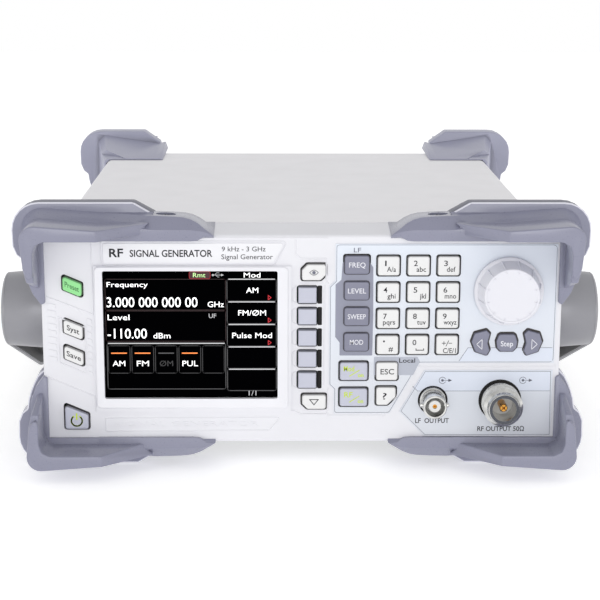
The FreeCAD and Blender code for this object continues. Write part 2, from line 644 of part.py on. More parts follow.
def make_fan():
    """The fan's square frame with its motor, and the rotor that turns in it."""
    frame = new_body("fan_frame", "dims.fan_x", "dims.front_plane + dims.rear_face - dims.rear_sheet", "dims.fan_z")
    half, depth = size("fan_side") / 2, size("fan_depth")
    square = new_sketch(frame, "XZ_Plane")
    rectangle(square, -half, -half, half, half)
    circle(square, 0, 0, size("fan_bore"))
    pad(frame, square, "dims.fan_depth")
    motor = new_sketch(frame, "XZ_Plane", "dims.fan_depth - 3.5")
    circle(motor, 0, 0, size("fan_motor"))
    pad(frame, motor, "3.5")
    for upright in (False, True):
        strut = new_sketch(frame, "XZ_Plane", "dims.fan_depth - 3")
        wide, tall = (1.6, half - 0.5) if upright else (half - 0.5, 1.6)
        rectangle(strut, -wide, -tall, wide, tall)
        pad(frame, strut, "3")
    spindle = new_sketch(frame, "XZ_Plane", "2")
    circle(spindle, 0, 0, 1.5)
    pad(frame, spindle, "dims.fan_depth - 4")
    rotor = new_body("fan_rotor", "dims.fan_x", "dims.front_plane + dims.rear_face - dims.rear_sheet - 2",
                     "dims.fan_z")
    hub = new_sketch(rotor, "XZ_Plane")
    circle(hub, 0, 0, size("rotor_hub"))
    circle(hub, 0, 0, 1.55)
    pad(rotor, hub, "dims.rotor_depth")
    tip, root = size("rotor_tip"), size("rotor_hub") - 1.0
    blade = new_sketch(rotor, "XZ_Plane", "1")
    polygon(blade, [(-1.2, root), (3.2, root), (8.6, math.sqrt(tip ** 2 - 8.6 ** 2)),
                    (2.0, math.sqrt(tip ** 2 - 2.0 ** 2))])
    vane = pad(rotor, blade, "dims.rotor_depth - 2")
    ring = rotor.newObject("PartDesign::PolarPattern", "fan_rotor_blades")
    ring.Originals = [vane]
    ring.Axis = (blade, ["N_Axis"])
    ring.Angle = 360
    ring.setExpression("Occurrences", "dims.blade_count")
    rotor.Tip = ring
    doc.recompute()


def make_mains_inlet():
    """The mains inlet: flange, housing with its socket hollow, and three pins."""
    body = new_body("mains_inlet", "dims.inlet_x", "dims.front_plane + dims.rear_face", "dims.inlet_z")
    housing = new_sketch(body, "XZ_Plane", "-2")
    half, rise = size("inlet_width") / 2, size("inlet_height") / 2
    rectangle(housing, -half, -rise, half, rise)
    pad(body, housing, "25.5")
    flange = new_sketch(body, "XZ_Plane", "-2")
    half, rise = size("inlet_flange") / 2, size("inlet_flange_height") / 2
    rectangle(flange, -half, -rise, half, rise)
    pad(body, flange, "2")
    hollow = new_sketch(body, "XZ_Plane", "-3")
    half, rise = size("socket_width") / 2, size("socket_height") / 2
    cut = 4.5
    polygon(hollow, [(-half, -rise), (half, -rise), (half, rise - cut), (half - cut, rise),
                     (cut - half, rise), (-half, rise - cut)])
    pocket(body, hollow, "dims.socket_depth + 1", back=True)
    for x, z in ((-7.0, -1.5), (7.0, -1.5), (0.0, 2.5)):
        pin = new_sketch(body, "XZ_Plane", "dims.socket_depth - 2")
        rectangle(pin, x - 1.0, z - 2.0, x + 1.0, z + 2.0)
        pad(body, pin, "dims.socket_depth - 3", back=True)


def make_rear_sockets():
    """Six identical BNC sockets in a row on the rear panel."""
    body = new_body("rear_sockets", "dims.rear_bnc_x", "dims.front_plane + dims.rear_face", "dims.rear_bnc_z")
    radius = size("bnc_radius")
    inside = -(size("rear_sheet") + 12.0)
    turned_socket = turned(body, [(0, inside), (4.7, inside), (4.7, -size("rear_sheet")), (4.7, 0), (6.9, 0),
                                  (6.9, 2.0), (radius, 2.0), (radius, 11.0), (radius - 0.8, 11.0),
                                  (radius - 0.8, 3.0), (2.4, 3.0), (2.4, 9.4), (0, 9.4)])
    row = body.newObject("PartDesign::LinearPattern", "rear_sockets_row")
    row.Originals = [turned_socket]
    row.Direction = (turned_socket.Profile[0], ["H_Axis"])
    bind(row, Length="dims.rear_bnc_pitch * (dims.rear_bnc_count - 1)", Occurrences="dims.rear_bnc_count")
    body.Tip = row
    doc.recompute()


# ---------------------------------------------------------------- bumpers

def both_ends(sketch, side, points):
    """The same loop at the top and, turned over, at the bottom."""
    for end in (1, -1):
        placed = []
        for point in points:
            if isinstance(point[0], tuple):
                placed.append(tuple((side * x, end * z) for x, z in point))
            else:
                placed.append((side * point[0], end * point[1]))
        outline(sketch, placed[0], placed[1:] + placed[:1])


def make_bumper(label, side, front):
    """A moulded bumper that wraps the upper and the lower corner of one side of the case."""
    if front:
        body = new_body(label, y="dims.front_plane", z="dims.mid_height")
        tail = size("front_tail")
    else:
        body = new_body(label, y="dims.front_plane + dims.rear_reference", z="dims.mid_height")
        body.Placement.Rotation = FreeCAD.Rotation(V(0, 0, 1), 180)
        tail = size("rear_tail")
    inner, plate, widest = size("bumper_inner_x"), size("plate_half_width"), size("bumper_half_width")
    skirt_inner, skirt_top = size("cover_half_width") + 0.2, 45.4
    high = size("mid_height")

    # the lip that stands out past the front face
    lip = new_sketch(body, "XZ_Plane", "0.2")
    both_ends(lip, side, [(60.3, 43.4), (60.3, 46.2), (80.3, 47.65), (104.6, 49.4),
                          ((108.5, 47.8), (plate, 44.0)), (plate, 27.3), (inner, 27.3), (inner, 43.4)])
    pad(body, lip, "dims.lip_reach - 0.2")
    # the plates between the lip and the flange, round the bezel
    plates = new_sketch(body, "XZ_Plane", "-dims.plate_back")
    both_ends(plates, side, [(tail, 45.2), (tail, 47.2), (80.3, 47.65), (104.6, 49.4),
                             ((108.5, 47.8), (plate, 44.0)), (plate, 25.5), (inner, 25.5), (inner, 45.2)])
    pad(body, plates, "dims.plate_back + 0.2")
    # the flange that stands out furthest; the lower ones are the feet
    flange = new_sketch(body, "XZ_Plane", "-dims.flange_back")
    both_ends(flange, side, [(max(tail, 61.0), 45.2), (max(tail, 61.0), 49.5), (max(tail, 61.0) + 6.5, high),
                             (106.0, high), ((114.06, high - 3.34), (widest, 43.6)), (widest, 33.5),
                             (113.3, 28.5), (110.8, 20.5), (108.3, 16.5), (inner, 12.5), (inner, 45.2)])
    pad(body, flange, "dims.flange_back - dims.plate_back")
    # the ramp that falls from the flange to the cover
    near = new_sketch(body, "XZ_Plane", "-dims.flange_back")
    far = new_sketch(body, "XZ_Plane", "-dims.skirt_end")
    for sketch, rise, thick in ((near, 6.4, 7.0), (far, 1.0, 1.2)):
        outline(sketch, (side * 68.0, skirt_top), [
            (side * 68.0, skirt_top + rise), (side * (skirt_inner + thick - 3.0), skirt_top + rise),
            (side * (skirt_inner + thick), skirt_top + rise - 3.0), (side * (skirt_inner + thick), 28.0),
            (side * skirt_inner, 28.0), (side * skirt_inner, skirt_top), (side * 68.0, skirt_top)])
    ramp = body.newObject("PartDesign::AdditiveLoft", label + "_ramp")
    ramp.Profile = near
    ramp.Sections = [far]
    ramp.Ruled = True
    doc.recompute()
    turned_over = body.newObject("PartDesign::Mirrored", label + "_lower_ramp")
    turned_over.Originals = [ramp]
    turned_over.MirrorPlane = (near, ["H_Axis"])
    body.Tip = turned_over
    doc.recompute()
    # the strip behind the bezel's side that joins both ends
    strip = new_sketch(body, "XZ_Plane", "-dims.flange_back")
    rectangle(strip, *sorted_pair(side * skirt_inner, side * 104.6, -46.0, 46.0))
    pad(body, strip, "6.3", back=True)
    if front:
        make_tail(body, side)
    # the slanted front edges of the lip: in plan towards the tail, and down the side
    plan = new_sketch(body, "XY_Plane")
    polygon(plan, [(side * 59.0, -19.0), (side * 80.0, -19.0), (side * 61.5, -5.0), (side * 59.0, -1.8)])
    pocket(body, plan, "dims.mid_height * 2 + 4", middle=True)
    elevation = new_sketch(body, "YZ_Plane")
    polygon(elevation, [(-19.0, -34.4), (-19.0, 34.4), (-1.0, 27.3), (-1.0, -27.3)])
    pocket(body, elevation, "dims.bumper_half_width * 2 + 4", middle=True)


def sorted_pair(first, second, bottom, top):
    """Left, bottom, right and top of a rectangle given two sides in any order."""
    return min(first, second), bottom, max(first, second), top


def make_tail(body, side):
    """The front bumper's long tail over the bezel's edge, with the recess of its screw."""
    skirt = new_sketch(body, "XZ_Plane", "0.15")
    outline(skirt, (side * 36.0, 47.2), [(side * 36.0, 40.3), (side * 58.0, 40.3), (side * 62.0, 43.0),
                                         (side * 62.0, 47.2), (side * 36.0, 47.2)])
    rectangle(skirt, *sorted_pair(side * 36.0, side * 62.0, -47.2, -43.4))
    pad(body, skirt, "1.45")
    top = new_sketch(body, "XZ_Plane", "-dims.flange_back")
    both_ends(top, side, [(36.0, 45.2), (36.0, 49.6), (62.0, 49.6), (62.0, 45.2)])
    pad(body, top, "dims.flange_back + 1.6")
    tip = new_sketch(body, "XY_Plane")
    outline(tip, (side * 34.0, 3.0), [(side * 36.0, 3.0), ((side * 40.1, 13.9), (side * 51.0, 18.0)),
                                      (side * 51.0, 20.0), (side * 34.0, 20.0), (side * 34.0, 3.0)])
    pocket(body, tip, "dims.mid_height * 2 + 4", middle=True)
    for end in (1, -1):
        recess = new_sketch(body, "XY_Plane", "%d * 50" % end)
        circle(recess, side * size("tail_screw_x"), size("tail_screw_y"), size("screw_recess"))
        pocket(body, recess, "2.6", back=end < 0)
    holes = new_sketch(body, "XY_Plane")
    circle(holes, side * size("tail_screw_x"), size("tail_screw_y"), size("screw_shank") + 0.1)
    pocket(body, holes, "dims.mid_height * 2", middle=True)


# ---------------------------------------------------------------- handle and screws

def make_handle():
    """The carrying handle: two round hubs, two cranked arms and the cross grip, stowed behind the case.

    Each arm is a thin outer skin with a rib inside it. It runs down and back from its hub, then level.
    """
    body = new_body("carry_handle", y="dims.front_plane + dims.hub_y", z="dims.hub_z")
    near, far = size("grip_near"), size("grip_far")
    top, foot, nose = size("grip_top"), size("grip_foot"), size("hub_radius")
    skin = new_sketch(body, "YZ_Plane", "dims.arm_skin")
    start = (0.352 * nose, 0.936 * nose)
    outline(skin, start, [((-nose, 0), (-start[0], -start[1])), (78.9, foot + 4.93),
                          ((92.23, foot + 1.25), (106.0, foot)), (far - 4, foot),
                          ((far - 1.17, foot + 1.17), (far, foot + 4)), (far, top - 4),
                          ((far - 1.17, top - 1.17), (far - 4, top)), (120.0, top + 3.48),
                          ((106.31, top + 5.24), (93.22, top + 9.62)), start])
    skin_pad = pad(body, skin, "dims.handle_half_width - dims.arm_skin")
    rib = new_sketch(body, "YZ_Plane", "dims.arm_inner")
    polygon(rib, [(0, 5), (97, foot + 15.4), (far - 8, foot + 14), (far - 8, foot + 4), (95, foot + 4.8), (0, -5)])
    rib_pad = pad(body, rib, "dims.arm_skin - dims.arm_inner + 1")
    hub = new_sketch(body, "YZ_Plane", "dims.hub_inner")
    circle(hub, 0, 0, nose)
    hub_pad = pad(body, hub, "dims.arm_skin - dims.hub_inner + 1")
    bore = new_sketch(body, "YZ_Plane", "dims.hub_inner - 1")
    circle(bore, 0, 0, size("pivot_radius") + size("pivot_play"))
    bore_cut = pocket(body, bore, "dims.pivot_end - dims.hub_inner + 1.4", back=True)
    other_side = body.newObject("PartDesign::Mirrored", "carry_handle_other_side")
    other_side.Originals = [skin_pad, rib_pad, hub_pad, bore_cut]
    other_side.MirrorPlane = (plane_of(body, "YZ_Plane"), [""])
    body.Tip = other_side
    doc.recompute()
    grip = new_sketch(body, "YZ_Plane")
    rectangle(grip, near, foot, far - 4, top)
    pad(body, grip, "%g" % (2 * size("handle_half_width") - 8), middle=True)


def cylinder(name, radius, length, turn=(0, 0, 1, 0)):
    """A plain cylinder along the direction that the turn gives."""
    item = doc.addObject("Part::Cylinder", name)
    bind(item, Radius=radius, Height=length)
    item.Placement.Rotation = FreeCAD.Rotation(V(*turn[:3]), turn[3])
    return item


def together(name, kind, items):
    """Items fused into one solid, or kept side by side as separate solids."""
    item = doc.addObject("Part::" + kind, name)
    item.Label = name
    if kind == "MultiFuse":
        item.Shapes = items
    else:
        item.Links = items
    return item


def make_pivots():
    """The two fixed pivots that the handle turns on."""
    pivots = []
    for side in (-1, 1):
        word = "left" if side < 0 else "right"
        turn = (0, 1, 0, 90 * side)
        flange = cylinder("pivot_flange_" + word, "13", "1.6", turn)
        move_to(flange, "%d * (dims.cover_half_width + 0.1)" % side, "dims.front_plane + dims.hub_y", "dims.hub_z")
        pin = cylinder("pivot_pin_" + word, "dims.pivot_radius", "dims.pivot_end - dims.cover_half_width - 0.1", turn)
        move_to(pin, "%d * (dims.cover_half_width + 0.1)" % side, "dims.front_plane + dims.hub_y", "dims.hub_z")
        pivots.append(together("pivot_" + word, "MultiFuse", [flange, pin]))
    subparts.append(together("handle_pivots", "Compound", pivots))


def make_screws():
    """All the visible case screws: four through the bumper tails and four in the rear panel."""
    screws = []
    places = []
    for side in (-1, 1):
        for end in (-1, 1):
            places.append(("%d * dims.tail_screw_x" % side, "dims.front_plane + dims.tail_screw_y",
                           "dims.mid_height + %d * 47.4" % end, (1, 0, 0, 0 if end > 0 else 180)))
    for x, z in rear_screws():
        places.append(("%g" % x, "dims.front_plane + dims.rear_face", "%g" % z, (1, 0, 0, -90)))
    for number, (x, y, z, turn) in enumerate(places, start=1):
        head = cylinder("screw_head_%d" % number, "dims.screw_head", "dims.screw_head_height", turn)
        shank = cylinder("screw_shank_%d" % number, "dims.screw_shank", "dims.screw_length + 1", turn)
        move_to(head, x, y, z)
        sink = FreeCAD.Rotation(V(*turn[:3]), turn[3]).multVec(V(0, 0, -1))
        move_to(shank, *("%s + %g * dims.screw_length" % (place, way)
                         for place, way in zip((x, y, z), (sink.x, sink.y, sink.z))))
        screws.append(together("screw_%d" % number, "MultiFuse", [head, shank]))
    subparts.append(together("case_screws", "Compound", screws))


def export_all():
    """Write one file a sub-part after checking that every object is sound."""
    doc.recompute()
    for item in doc.Objects:
        if "Invalid" in item.State or "Error" in item.State:
            raise RuntimeError("%s is not sound: %s" % (item.Label, item.State))
    os.makedirs("parts", exist_ok=True)
    for item in subparts:
        if item.Shape.isNull() or not item.Shape.isValid():
            raise RuntimeError("%s has no valid shape" % item.Label)
        item.Shape.exportStep(os.path.join("parts", item.Label + ".step"))


list_keys()
for key in KEYS:
    make_key(key)
make_front_bezel()
make_display()
make_keypad_overlay()
make_connector_overlay()
make_key_board()
make_knob()
make_front_connectors()
make_top_cover()
make_bottom_chassis()
make_rear_panel()
make_main_board()
make_power_supply()
make_fan()
make_mains_inlet()
make_rear_sockets()
make_bumper("front_left_bumper", -1, True)
make_bumper("front_right_bumper", 1, True)
make_bumper("rear_left_bumper", 1, False)
make_bumper("rear_right_bumper", -1, False)
make_handle()
make_pivots()
make_screws()
export_all()
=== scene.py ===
"""Looks of the bench RF signal generator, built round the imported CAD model.

Panel coordinates are millimetres: x to the right, d back from the bezel's front face, z up from the table.
"""
import json
import math

import bmesh
import bpy
from mathutils import Matrix, Vector, geometry


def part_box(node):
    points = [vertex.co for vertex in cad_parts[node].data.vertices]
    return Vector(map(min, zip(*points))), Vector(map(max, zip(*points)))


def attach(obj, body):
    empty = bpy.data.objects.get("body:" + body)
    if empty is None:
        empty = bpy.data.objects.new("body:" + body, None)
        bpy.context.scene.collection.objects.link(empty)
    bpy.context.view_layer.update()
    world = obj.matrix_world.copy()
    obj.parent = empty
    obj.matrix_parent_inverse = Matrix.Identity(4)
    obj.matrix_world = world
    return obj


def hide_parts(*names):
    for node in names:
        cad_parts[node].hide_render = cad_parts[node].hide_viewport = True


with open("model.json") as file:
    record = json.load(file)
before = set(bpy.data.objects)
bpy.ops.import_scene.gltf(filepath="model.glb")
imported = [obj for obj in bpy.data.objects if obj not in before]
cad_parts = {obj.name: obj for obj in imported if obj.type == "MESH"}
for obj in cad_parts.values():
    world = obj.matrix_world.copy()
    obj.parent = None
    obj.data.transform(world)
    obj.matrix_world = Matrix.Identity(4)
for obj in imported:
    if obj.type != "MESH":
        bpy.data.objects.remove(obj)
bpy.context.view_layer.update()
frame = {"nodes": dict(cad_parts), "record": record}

MM = 0.001
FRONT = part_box("keypad_overlay")[1].y / MM      # the bezel's front face in the row frame, mm
MIDDLE = 55.0                                   # middle height of the case, mm


def at(x, d, z):
    """A point of the panel in the row frame, metres."""
    return Vector((x, FRONT + d, z)) * MM


# ---------------------------------------------------------------- materials

def srgb(red, green, blue):
    """Linear colour from 0-255 display values."""
    out = []
    for value in (red, green, blue):
        c = value / 255.0
        out.append(c / 12.92 if c <= 0.04045 else ((c + 0.055) / 1.055) ** 2.4)
    return (*out, 1.0)


def new_material(name):
    material = bpy.data.materials.new(name)
    material.use_nodes = True
    nodes = material.node_tree.nodes
    return material, nodes, material.node_tree.links, nodes["Principled BSDF"]


def noise_node(nodes, links, scale, detail=3.0, squeeze=(1, 1, 1)):
    """Object-space noise; squeeze stretches it along an axis."""
    coordinates = nodes.new("ShaderNodeTexCoord")
    mapping = nodes.new("ShaderNodeMapping")
    mapping.inputs["Scale"].default_value = squeeze
    noise = nodes.new("ShaderNodeTexNoise")
    noise.inputs["Scale"].default_value = scale
    noise.inputs["Detail"].default_value = detail
    links.new(coordinates.outputs["Object"], mapping.inputs["Vector"])
    links.new(mapping.outputs["Vector"], noise.inputs["Vector"])
    return noise.outputs["Fac"]


def mapped(nodes, links, source, **limits):
    """A map-range node fed by a socket; its limits are given with _ for the space in their names."""
    node = nodes.new("ShaderNodeMapRange")
    for name, value in limits.items():
        node.inputs[name.replace("_", " ")].default_value = value
    links.new(source, node.inputs["Value"])
    return node.outputs["Result"]


def ramped(nodes, links, source, low, high, positions=(0.0, 1.0)):
    """A ramp between two colours."""
    node = nodes.new("ShaderNodeValToRGB")
    for element, colour, position in zip(node.color_ramp.elements, (low, high), positions):
        element.position = position
        element.color = colour
    links.new(source, node.inputs["Fac"])
    return node.outputs["Color"]


def grained(nodes, links, shader, fine, roughness, spread, strength, depth):
    """Let fine noise vary the roughness and raise a slight grain, depth in millimetres."""
    level = mapped(nodes, links, fine, To_Min=roughness - spread, To_Max=roughness + spread)
    links.new(level, shader.inputs["Roughness"])
    relief = nodes.new("ShaderNodeBump")
    relief.inputs["Strength"].default_value = strength
    relief.inputs["Distance"].default_value = depth * MM
    links.new(fine, relief.inputs["Height"])
    links.new(relief.outputs["Normal"], shader.inputs["Normal"])


def surface(name, colour, roughness, vary=0.06, grain=1800.0, bump=0.02, metal=0.0, coat=0.0,
            squeeze=(1, 1, 1), patch=60.0, rough_vary=0.08, specular=0.5):
    """A procedural finish: tone patches, grain bump and roughness variation."""
    material, nodes, links, shader = new_material(name)
    for socket, value in (("Metallic", metal), ("Coat Weight", coat), ("Coat Roughness", 0.15),
                          ("Specular IOR Level", specular)):
        shader.inputs[socket].default_value = value
    low, high = ((*[min(1, c * factor) for c in colour[:3]], 1) for factor in (1 - vary, 1 + vary))
    tone = ramped(nodes, links, noise_node(nodes, links, patch, 4.0), low, high, (0.3, 0.7))
    links.new(tone, shader.inputs["Base Color"])
    grained(nodes, links, shader, noise_node(nodes, links, grain, 2.0, squeeze), roughness, rough_vary, 0.5, bump)
    return material


def height_of(nodes, links, output):
    """The upward coordinate of a texture-coordinate output."""
    coordinates = nodes.new("ShaderNodeTexCoord")
    split = nodes.new("ShaderNodeSeparateXYZ")
    links.new(coordinates.outputs[output], split.inputs["Vector"])
    return split.outputs["Z"]


def graded(name, low, high, z_low, z_high, roughness):
    """A printed film whose tone changes gently with height, in metres."""
    material, nodes, links, shader = new_material(name)
    level = mapped(nodes, links, height_of(nodes, links, "Object"), From_Min=z_low, From_Max=z_high)
    links.new(ramped(nodes, links, level, low, high), shader.inputs["Base Color"])
    grained(nodes, links, shader, noise_node(nodes, links, 2600.0, 2.0), roughness, 0.05, 0.3, 0.01)
    return material


def lit(name, colour, strength=0.8):
    """A lit part of the screen: the colour glows with a fine pixel ripple."""
    material, nodes, links, shader = new_material(name)
    tone = ramped(nodes, links, noise_node(nodes, links, 4000.0, 1.0), (*[c * 0.92 for c in colour], 1),
                  (*colour, 1))
    links.new(tone, shader.inputs["Emission Color"])
    links.new(tone, shader.inputs["Base Color"])
    shader.inputs["Emission Strength"].default_value = strength
    shader.inputs["Roughness"].default_value = 0.4
    return material


# each finish: the record's slot, display colour, roughness, tone variation, grain, bump in mm, the rest
NICKEL = {"patch": 190, "metal": 1.0, "rough_vary": 0.06}
FINISHES = {
    "bezel": ("bezel_plastic", (226, 226, 231), 0.42, 0.012, 2400, 0.012, {}),
    "plate": ("bezel_plastic", (232, 232, 236), 0.36, 0.01, 2600, 0.008, {}),
    "surround": ("bezel_plastic", (230, 230, 235), 0.38, 0.012, 2400, 0.01, {}),
    "knob": ("knob_plastic", (224, 224, 231), 0.34, 0.01, 2600, 0.006, {}),
    "bumper": ("bumper_plastic", (135, 136, 155), 0.3, 0.03, 1500, 0.02, {"coat": 0.3}),
    # painted light: a lighter copy of the bumper plastic for the rear bumpers
    "bumper_painted_light": ("bumper_plastic", (160, 161, 180), 0.34, 0.03, 1500, 0.02, {}),
    # bumper_shade is painted shade and bumper_shine a painted highlight, both copies of the bumper plastic
    "bumper_shade": ("bumper_plastic", (96, 97, 112), 0.4, 0.03, 1500, 0.02, {"specular": 0.25}),
    "bumper_shine": ("bumper_plastic", (222, 222, 232), 0.3, 0.02, 1500, 0.02, {}),
    "handle": ("handle_plastic", (150, 150, 155), 0.36, 0.05, 1500, 0.05, {"metal": 0.4}),
    "cover": ("cover_paint", (238, 237, 240), 0.5, 0.02, 1300, 0.05, {}),
    "steel": ("screw_steel", (186, 188, 190), 0.38, 0.06, 900, 0.02, {"metal": 0.9, "squeeze": (1, 0.05, 1)}),
    "rear": ("rear_metal", (198, 199, 203), 0.48, 0.02, 1400, 0.04, {}),
    "nickel": ("nickel", (206, 206, 204), 0.16, 0.3, 1100, 0.01, NICKEL),
    "nickel_dark": ("nickel", (84, 86, 92), 0.3, 0.08, 1100, 0.01, {"metal": 1.0}),
    "gold": ("nickel", (206, 150, 70), 0.26, 0.05, 1500, 0.005, {"metal": 1.0, "rough_vary": 0.05}),
    "dielectric": ("knob_plastic", (222, 222, 220), 0.45, 0.02, 2000, 0.01, {}),
    "black": ("dark_plastic", (28, 28, 31), 0.5, 0.08, 1600, 0.02, {}),
    # slot is painted shade: near-black for gaps, recesses and the rings where sockets meet the panel
    "slot": ("dark_plastic", (34, 33, 34), 0.7, 0.08, 1600, 0.02, {"specular": 0.2}),
    # gap is painted shade for the gaps round the keys
    "gap": ("dark_plastic", (74, 70, 70), 0.7, 0.08, 1600, 0.02, {"specular": 0.2}),
    "board": ("board_green", (24, 92, 58), 0.4, 0.15, 700, 0.03, {"patch": 220}),
    "film_tint": ("overlay_film", (217, 223, 236), 0.34, 0.008, 2600, 0.006, {}),
    "ink": ("overlay_film", (38, 38, 44), 0.5, 0.04, 2500, 0.004, {"specular": 0.2}),
    "ink_grey": ("overlay_film", (112, 114, 128), 0.5, 0.04, 2500, 0.004, {"specular": 0.2}),
    "ink_white": ("overlay_film", (232, 232, 238), 0.5, 0.01, 2500, 0.004, {}),
    "ink_lime": ("overlay_film", (198, 220, 50), 0.5, 0.02, 2500, 0.004, {}),
    "ink_green": ("overlay_film", (58, 118, 66), 0.5, 0.04, 2500, 0.004, {}),
    "backing": ("overlay_film", (143, 145, 162), 0.42, 0.015, 2500, 0.006, {}),
    "tag": ("overlay_film", (178, 182, 194), 0.42, 0.01, 2500, 0.006, {}),
    "screen": ("display_glass", (2, 2, 3), 0.6, 0.1, 3000, 0.001, {"rough_vary": 0.02, "specular": 0.0}),
}
# each key colour also gets a darker copy, 0.72 of its tone: painted shade for the cap's rounded shoulder
for key, slot, tone in (("key_white", "key_light", (227, 227, 227)), ("key_grey", "key_grey", (190, 192, 206)),
                        ("key_dark", "key_dark", (128, 129, 147)), ("key_green", "key_green", (146, 224, 146))):
    FINISHES[key] = (slot, tone, 0.38, 0.012, 2600, 0.008, {})
    FINISHES[key + "_edge"] = (slot, [0.72 * c for c in tone], 0.5, 0.04, 2600, 0.008, {})
M = {key: surface(key, srgb(*tone), rough, vary, grain, bump, **rest)
     for key, (slot, tone, rough, vary, grain, bump, rest) in FINISHES.items()}
RECORD_SLOT = {key: finish[0] for key, finish in FINISHES.items()}
RECORD_SLOT["film"] = "overlay_film"
M["film"] = graded("film", srgb(216, 219, 226), srgb(221, 227, 237), 0.024, 0.094, 0.32)
M["film_low"] = graded("film_low", srgb(212, 215, 222), srgb(218, 223, 232), 0.014, 0.042, 0.32)
M["lit_white"] = lit("lit_white", (0.9, 0.9, 0.9), 0.95)
M["lit_orange"] = lit("lit_orange", (0.75, 0.2, 0.04), 0.9)
for key, glow in (("grey", (0.04, 0.04, 0.042)), ("dim", (0.014, 0.014, 0.015)), ("soft", (0.35, 0.35, 0.36)),
                  ("red", (0.42, 0.012, 0.02)), ("maroon", (0.012, 0.001, 0.002)), ("tag", (0.03, 0.0, 0.005)),
                  ("lime", (0.45, 0.75, 0.3))):
    M["lit_" + key] = lit("lit_" + key, glow)


# ---------------------------------------------------------------- mesh building

def link(name, data):
    """A new object in the scene."""
    item = bpy.data.objects.new(name, data)
    bpy.context.scene.collection.objects.link(item)
    return item


def mesh_data(name, mesh):
    """The bmesh as mesh data; the bmesh is used up."""
    data = bpy.data.meshes.new(name)
    mesh.to_mesh(data)
    mesh.free()
    return data


def append(mesh, other):
    """Copy the other bmesh in; it is used up."""
    scratch = mesh_data("scratch", other)
    mesh.from_mesh(scratch)
    bpy.data.meshes.remove(scratch)


class Shape:
    """Gathers closed solids for one piece, each face keeping the material it was made with."""

    def __init__(self):
        self.mesh = bmesh.new()
        self.slots = []

    def slot(self, key):
        if key not in self.slots:
            self.slots.append(key)
        return self.slots.index(key)

    def add(self, other, key, matrix=None):
        """Copy a bmesh in with one material."""
        if matrix is not None:
            other.transform(matrix)
        index = self.slot(key)
        for face in other.faces:
            face.material_index = index
        append(self.mesh, other)

    def finish(self, name, body, nodes=(), angle=35, slot=None):
        """The finished piece: linked, smoothed by angle, riding on its body."""
        data = mesh_data(name, self.mesh)
        for key in self.slots:
            data.materials.append(M[key])
        data.shade_smooth()
        data.set_sharp_from_angle(angle=math.radians(angle))
        piece = link(name, data)
        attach(piece, body)
        if nodes:
            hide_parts(*nodes)
        return piece


def rounded(points, radius, steps=4):
    """The loop with its corners rounded; radius is one number or one a corner."""
    count = len(points)
    out = []
    for index, point in enumerate(points):
        r = radius[index] if isinstance(radius, (list, tuple)) else radius
        corner = Vector(point)
        if r <= 0:
            out.append(corner)
            continue
        before = (Vector(points[index - 1]) - corner)
        after = (Vector(points[(index + 1) % count]) - corner)
        angle = before.angle(after)
        reach = min(r / math.tan(angle / 2), before.length * 0.49, after.length * 0.49)
        r = reach * math.tan(angle / 2)
        bisector = (before.normalized() + after.normalized()).normalized()
        centre = corner + bisector * (r / math.sin(angle / 2))
        start = corner + before.normalized() * reach - centre
        finish = corner + after.normalized() * reach - centre
        turn = start.angle_signed(finish)
        for step in range(steps + 1):
            out.append(centre + Matrix.Rotation(-turn * step / steps, 2) @ start)
    return out


def grown(loop, amount):
    """The loop moved outwards (inwards when negative) by mitred offsets."""
    count = len(loop)
    area = sum(loop[i - 1].x * loop[i].y - loop[i].x * loop[i - 1].y for i in range(count))
    sign = 1 if area > 0 else -1
    out = []
    for index, point in enumerate(loop):
        before = (point - loop[index - 1])
        after = (loop[(index + 1) % count] - point)
        if before.length < 1e-7 or after.length < 1e-7:
            out.append(point.copy())
            continue
        n1 = Vector((before.y, -before.x)).normalized()
        n2 = Vector((after.y, -after.x)).normalized()
        middle = n1 + n2
        if middle.length < 1e-6:
            out.append(point.copy())
            continue
        middle.normalize()
        out.append(point + middle * (sign * amount / max(0.4, middle.dot(n1))))
    return out


def circle(radius, steps, x=0.0, y=0.0, start=0.0):
    """Points round a circle, counter-clockwise from the right."""
    return [(x + radius * math.cos(start + 2 * math.pi * i / steps),
             y + radius * math.sin(start + 2 * math.pi * i / steps)) for i in range(steps)]


def skin(layers, ends=True, place=at):
    """A closed skin through loops of equal length: capped at both ends, or last joined to first."""
    mesh = bmesh.new()
    made = [[mesh.verts.new(place(*p)) for p in layer] for layer in layers]
    count = len(layers[0])
    for lower, upper in zip(made, made[1:] if ends else made[1:] + made[:1]):
        for i in range(count):
            j = (i + 1) % count
            mesh.faces.new((lower[i], lower[j], upper[j], upper[i]))
    if ends:
        mesh.faces.new(made[0])
        mesh.faces.new(list(reversed(made[-1])))
    bmesh.ops.recalc_face_normals(mesh, faces=mesh.faces)
    return mesh


def flat(loop, depth):
    """A loop in the panel's plane, set at one depth."""
    return [(p[0], depth, p[1]) for p in loop]


def prism(points, front, back):
    """An upright block between two depths."""
    return skin([flat(points, front), flat(points, back)])


def slab(points, front, back, radius=0.0, edge=0.0):
    """A plate with its outline in the panel's plane, between two depths, with rounded front edges."""
    loop = rounded(points, radius)
    steps = ((0.0, 1.0), (0.12, 0.5), (0.5, 0.12), (1.0, 0.0)) if edge > 0 else ((0.0, 0.0),)
    layers = [flat(grown(loop, -inset * edge) if edge > 0 else loop, front + depth * edge) for depth, inset in steps]
    return skin(layers + [flat(loop, back)])


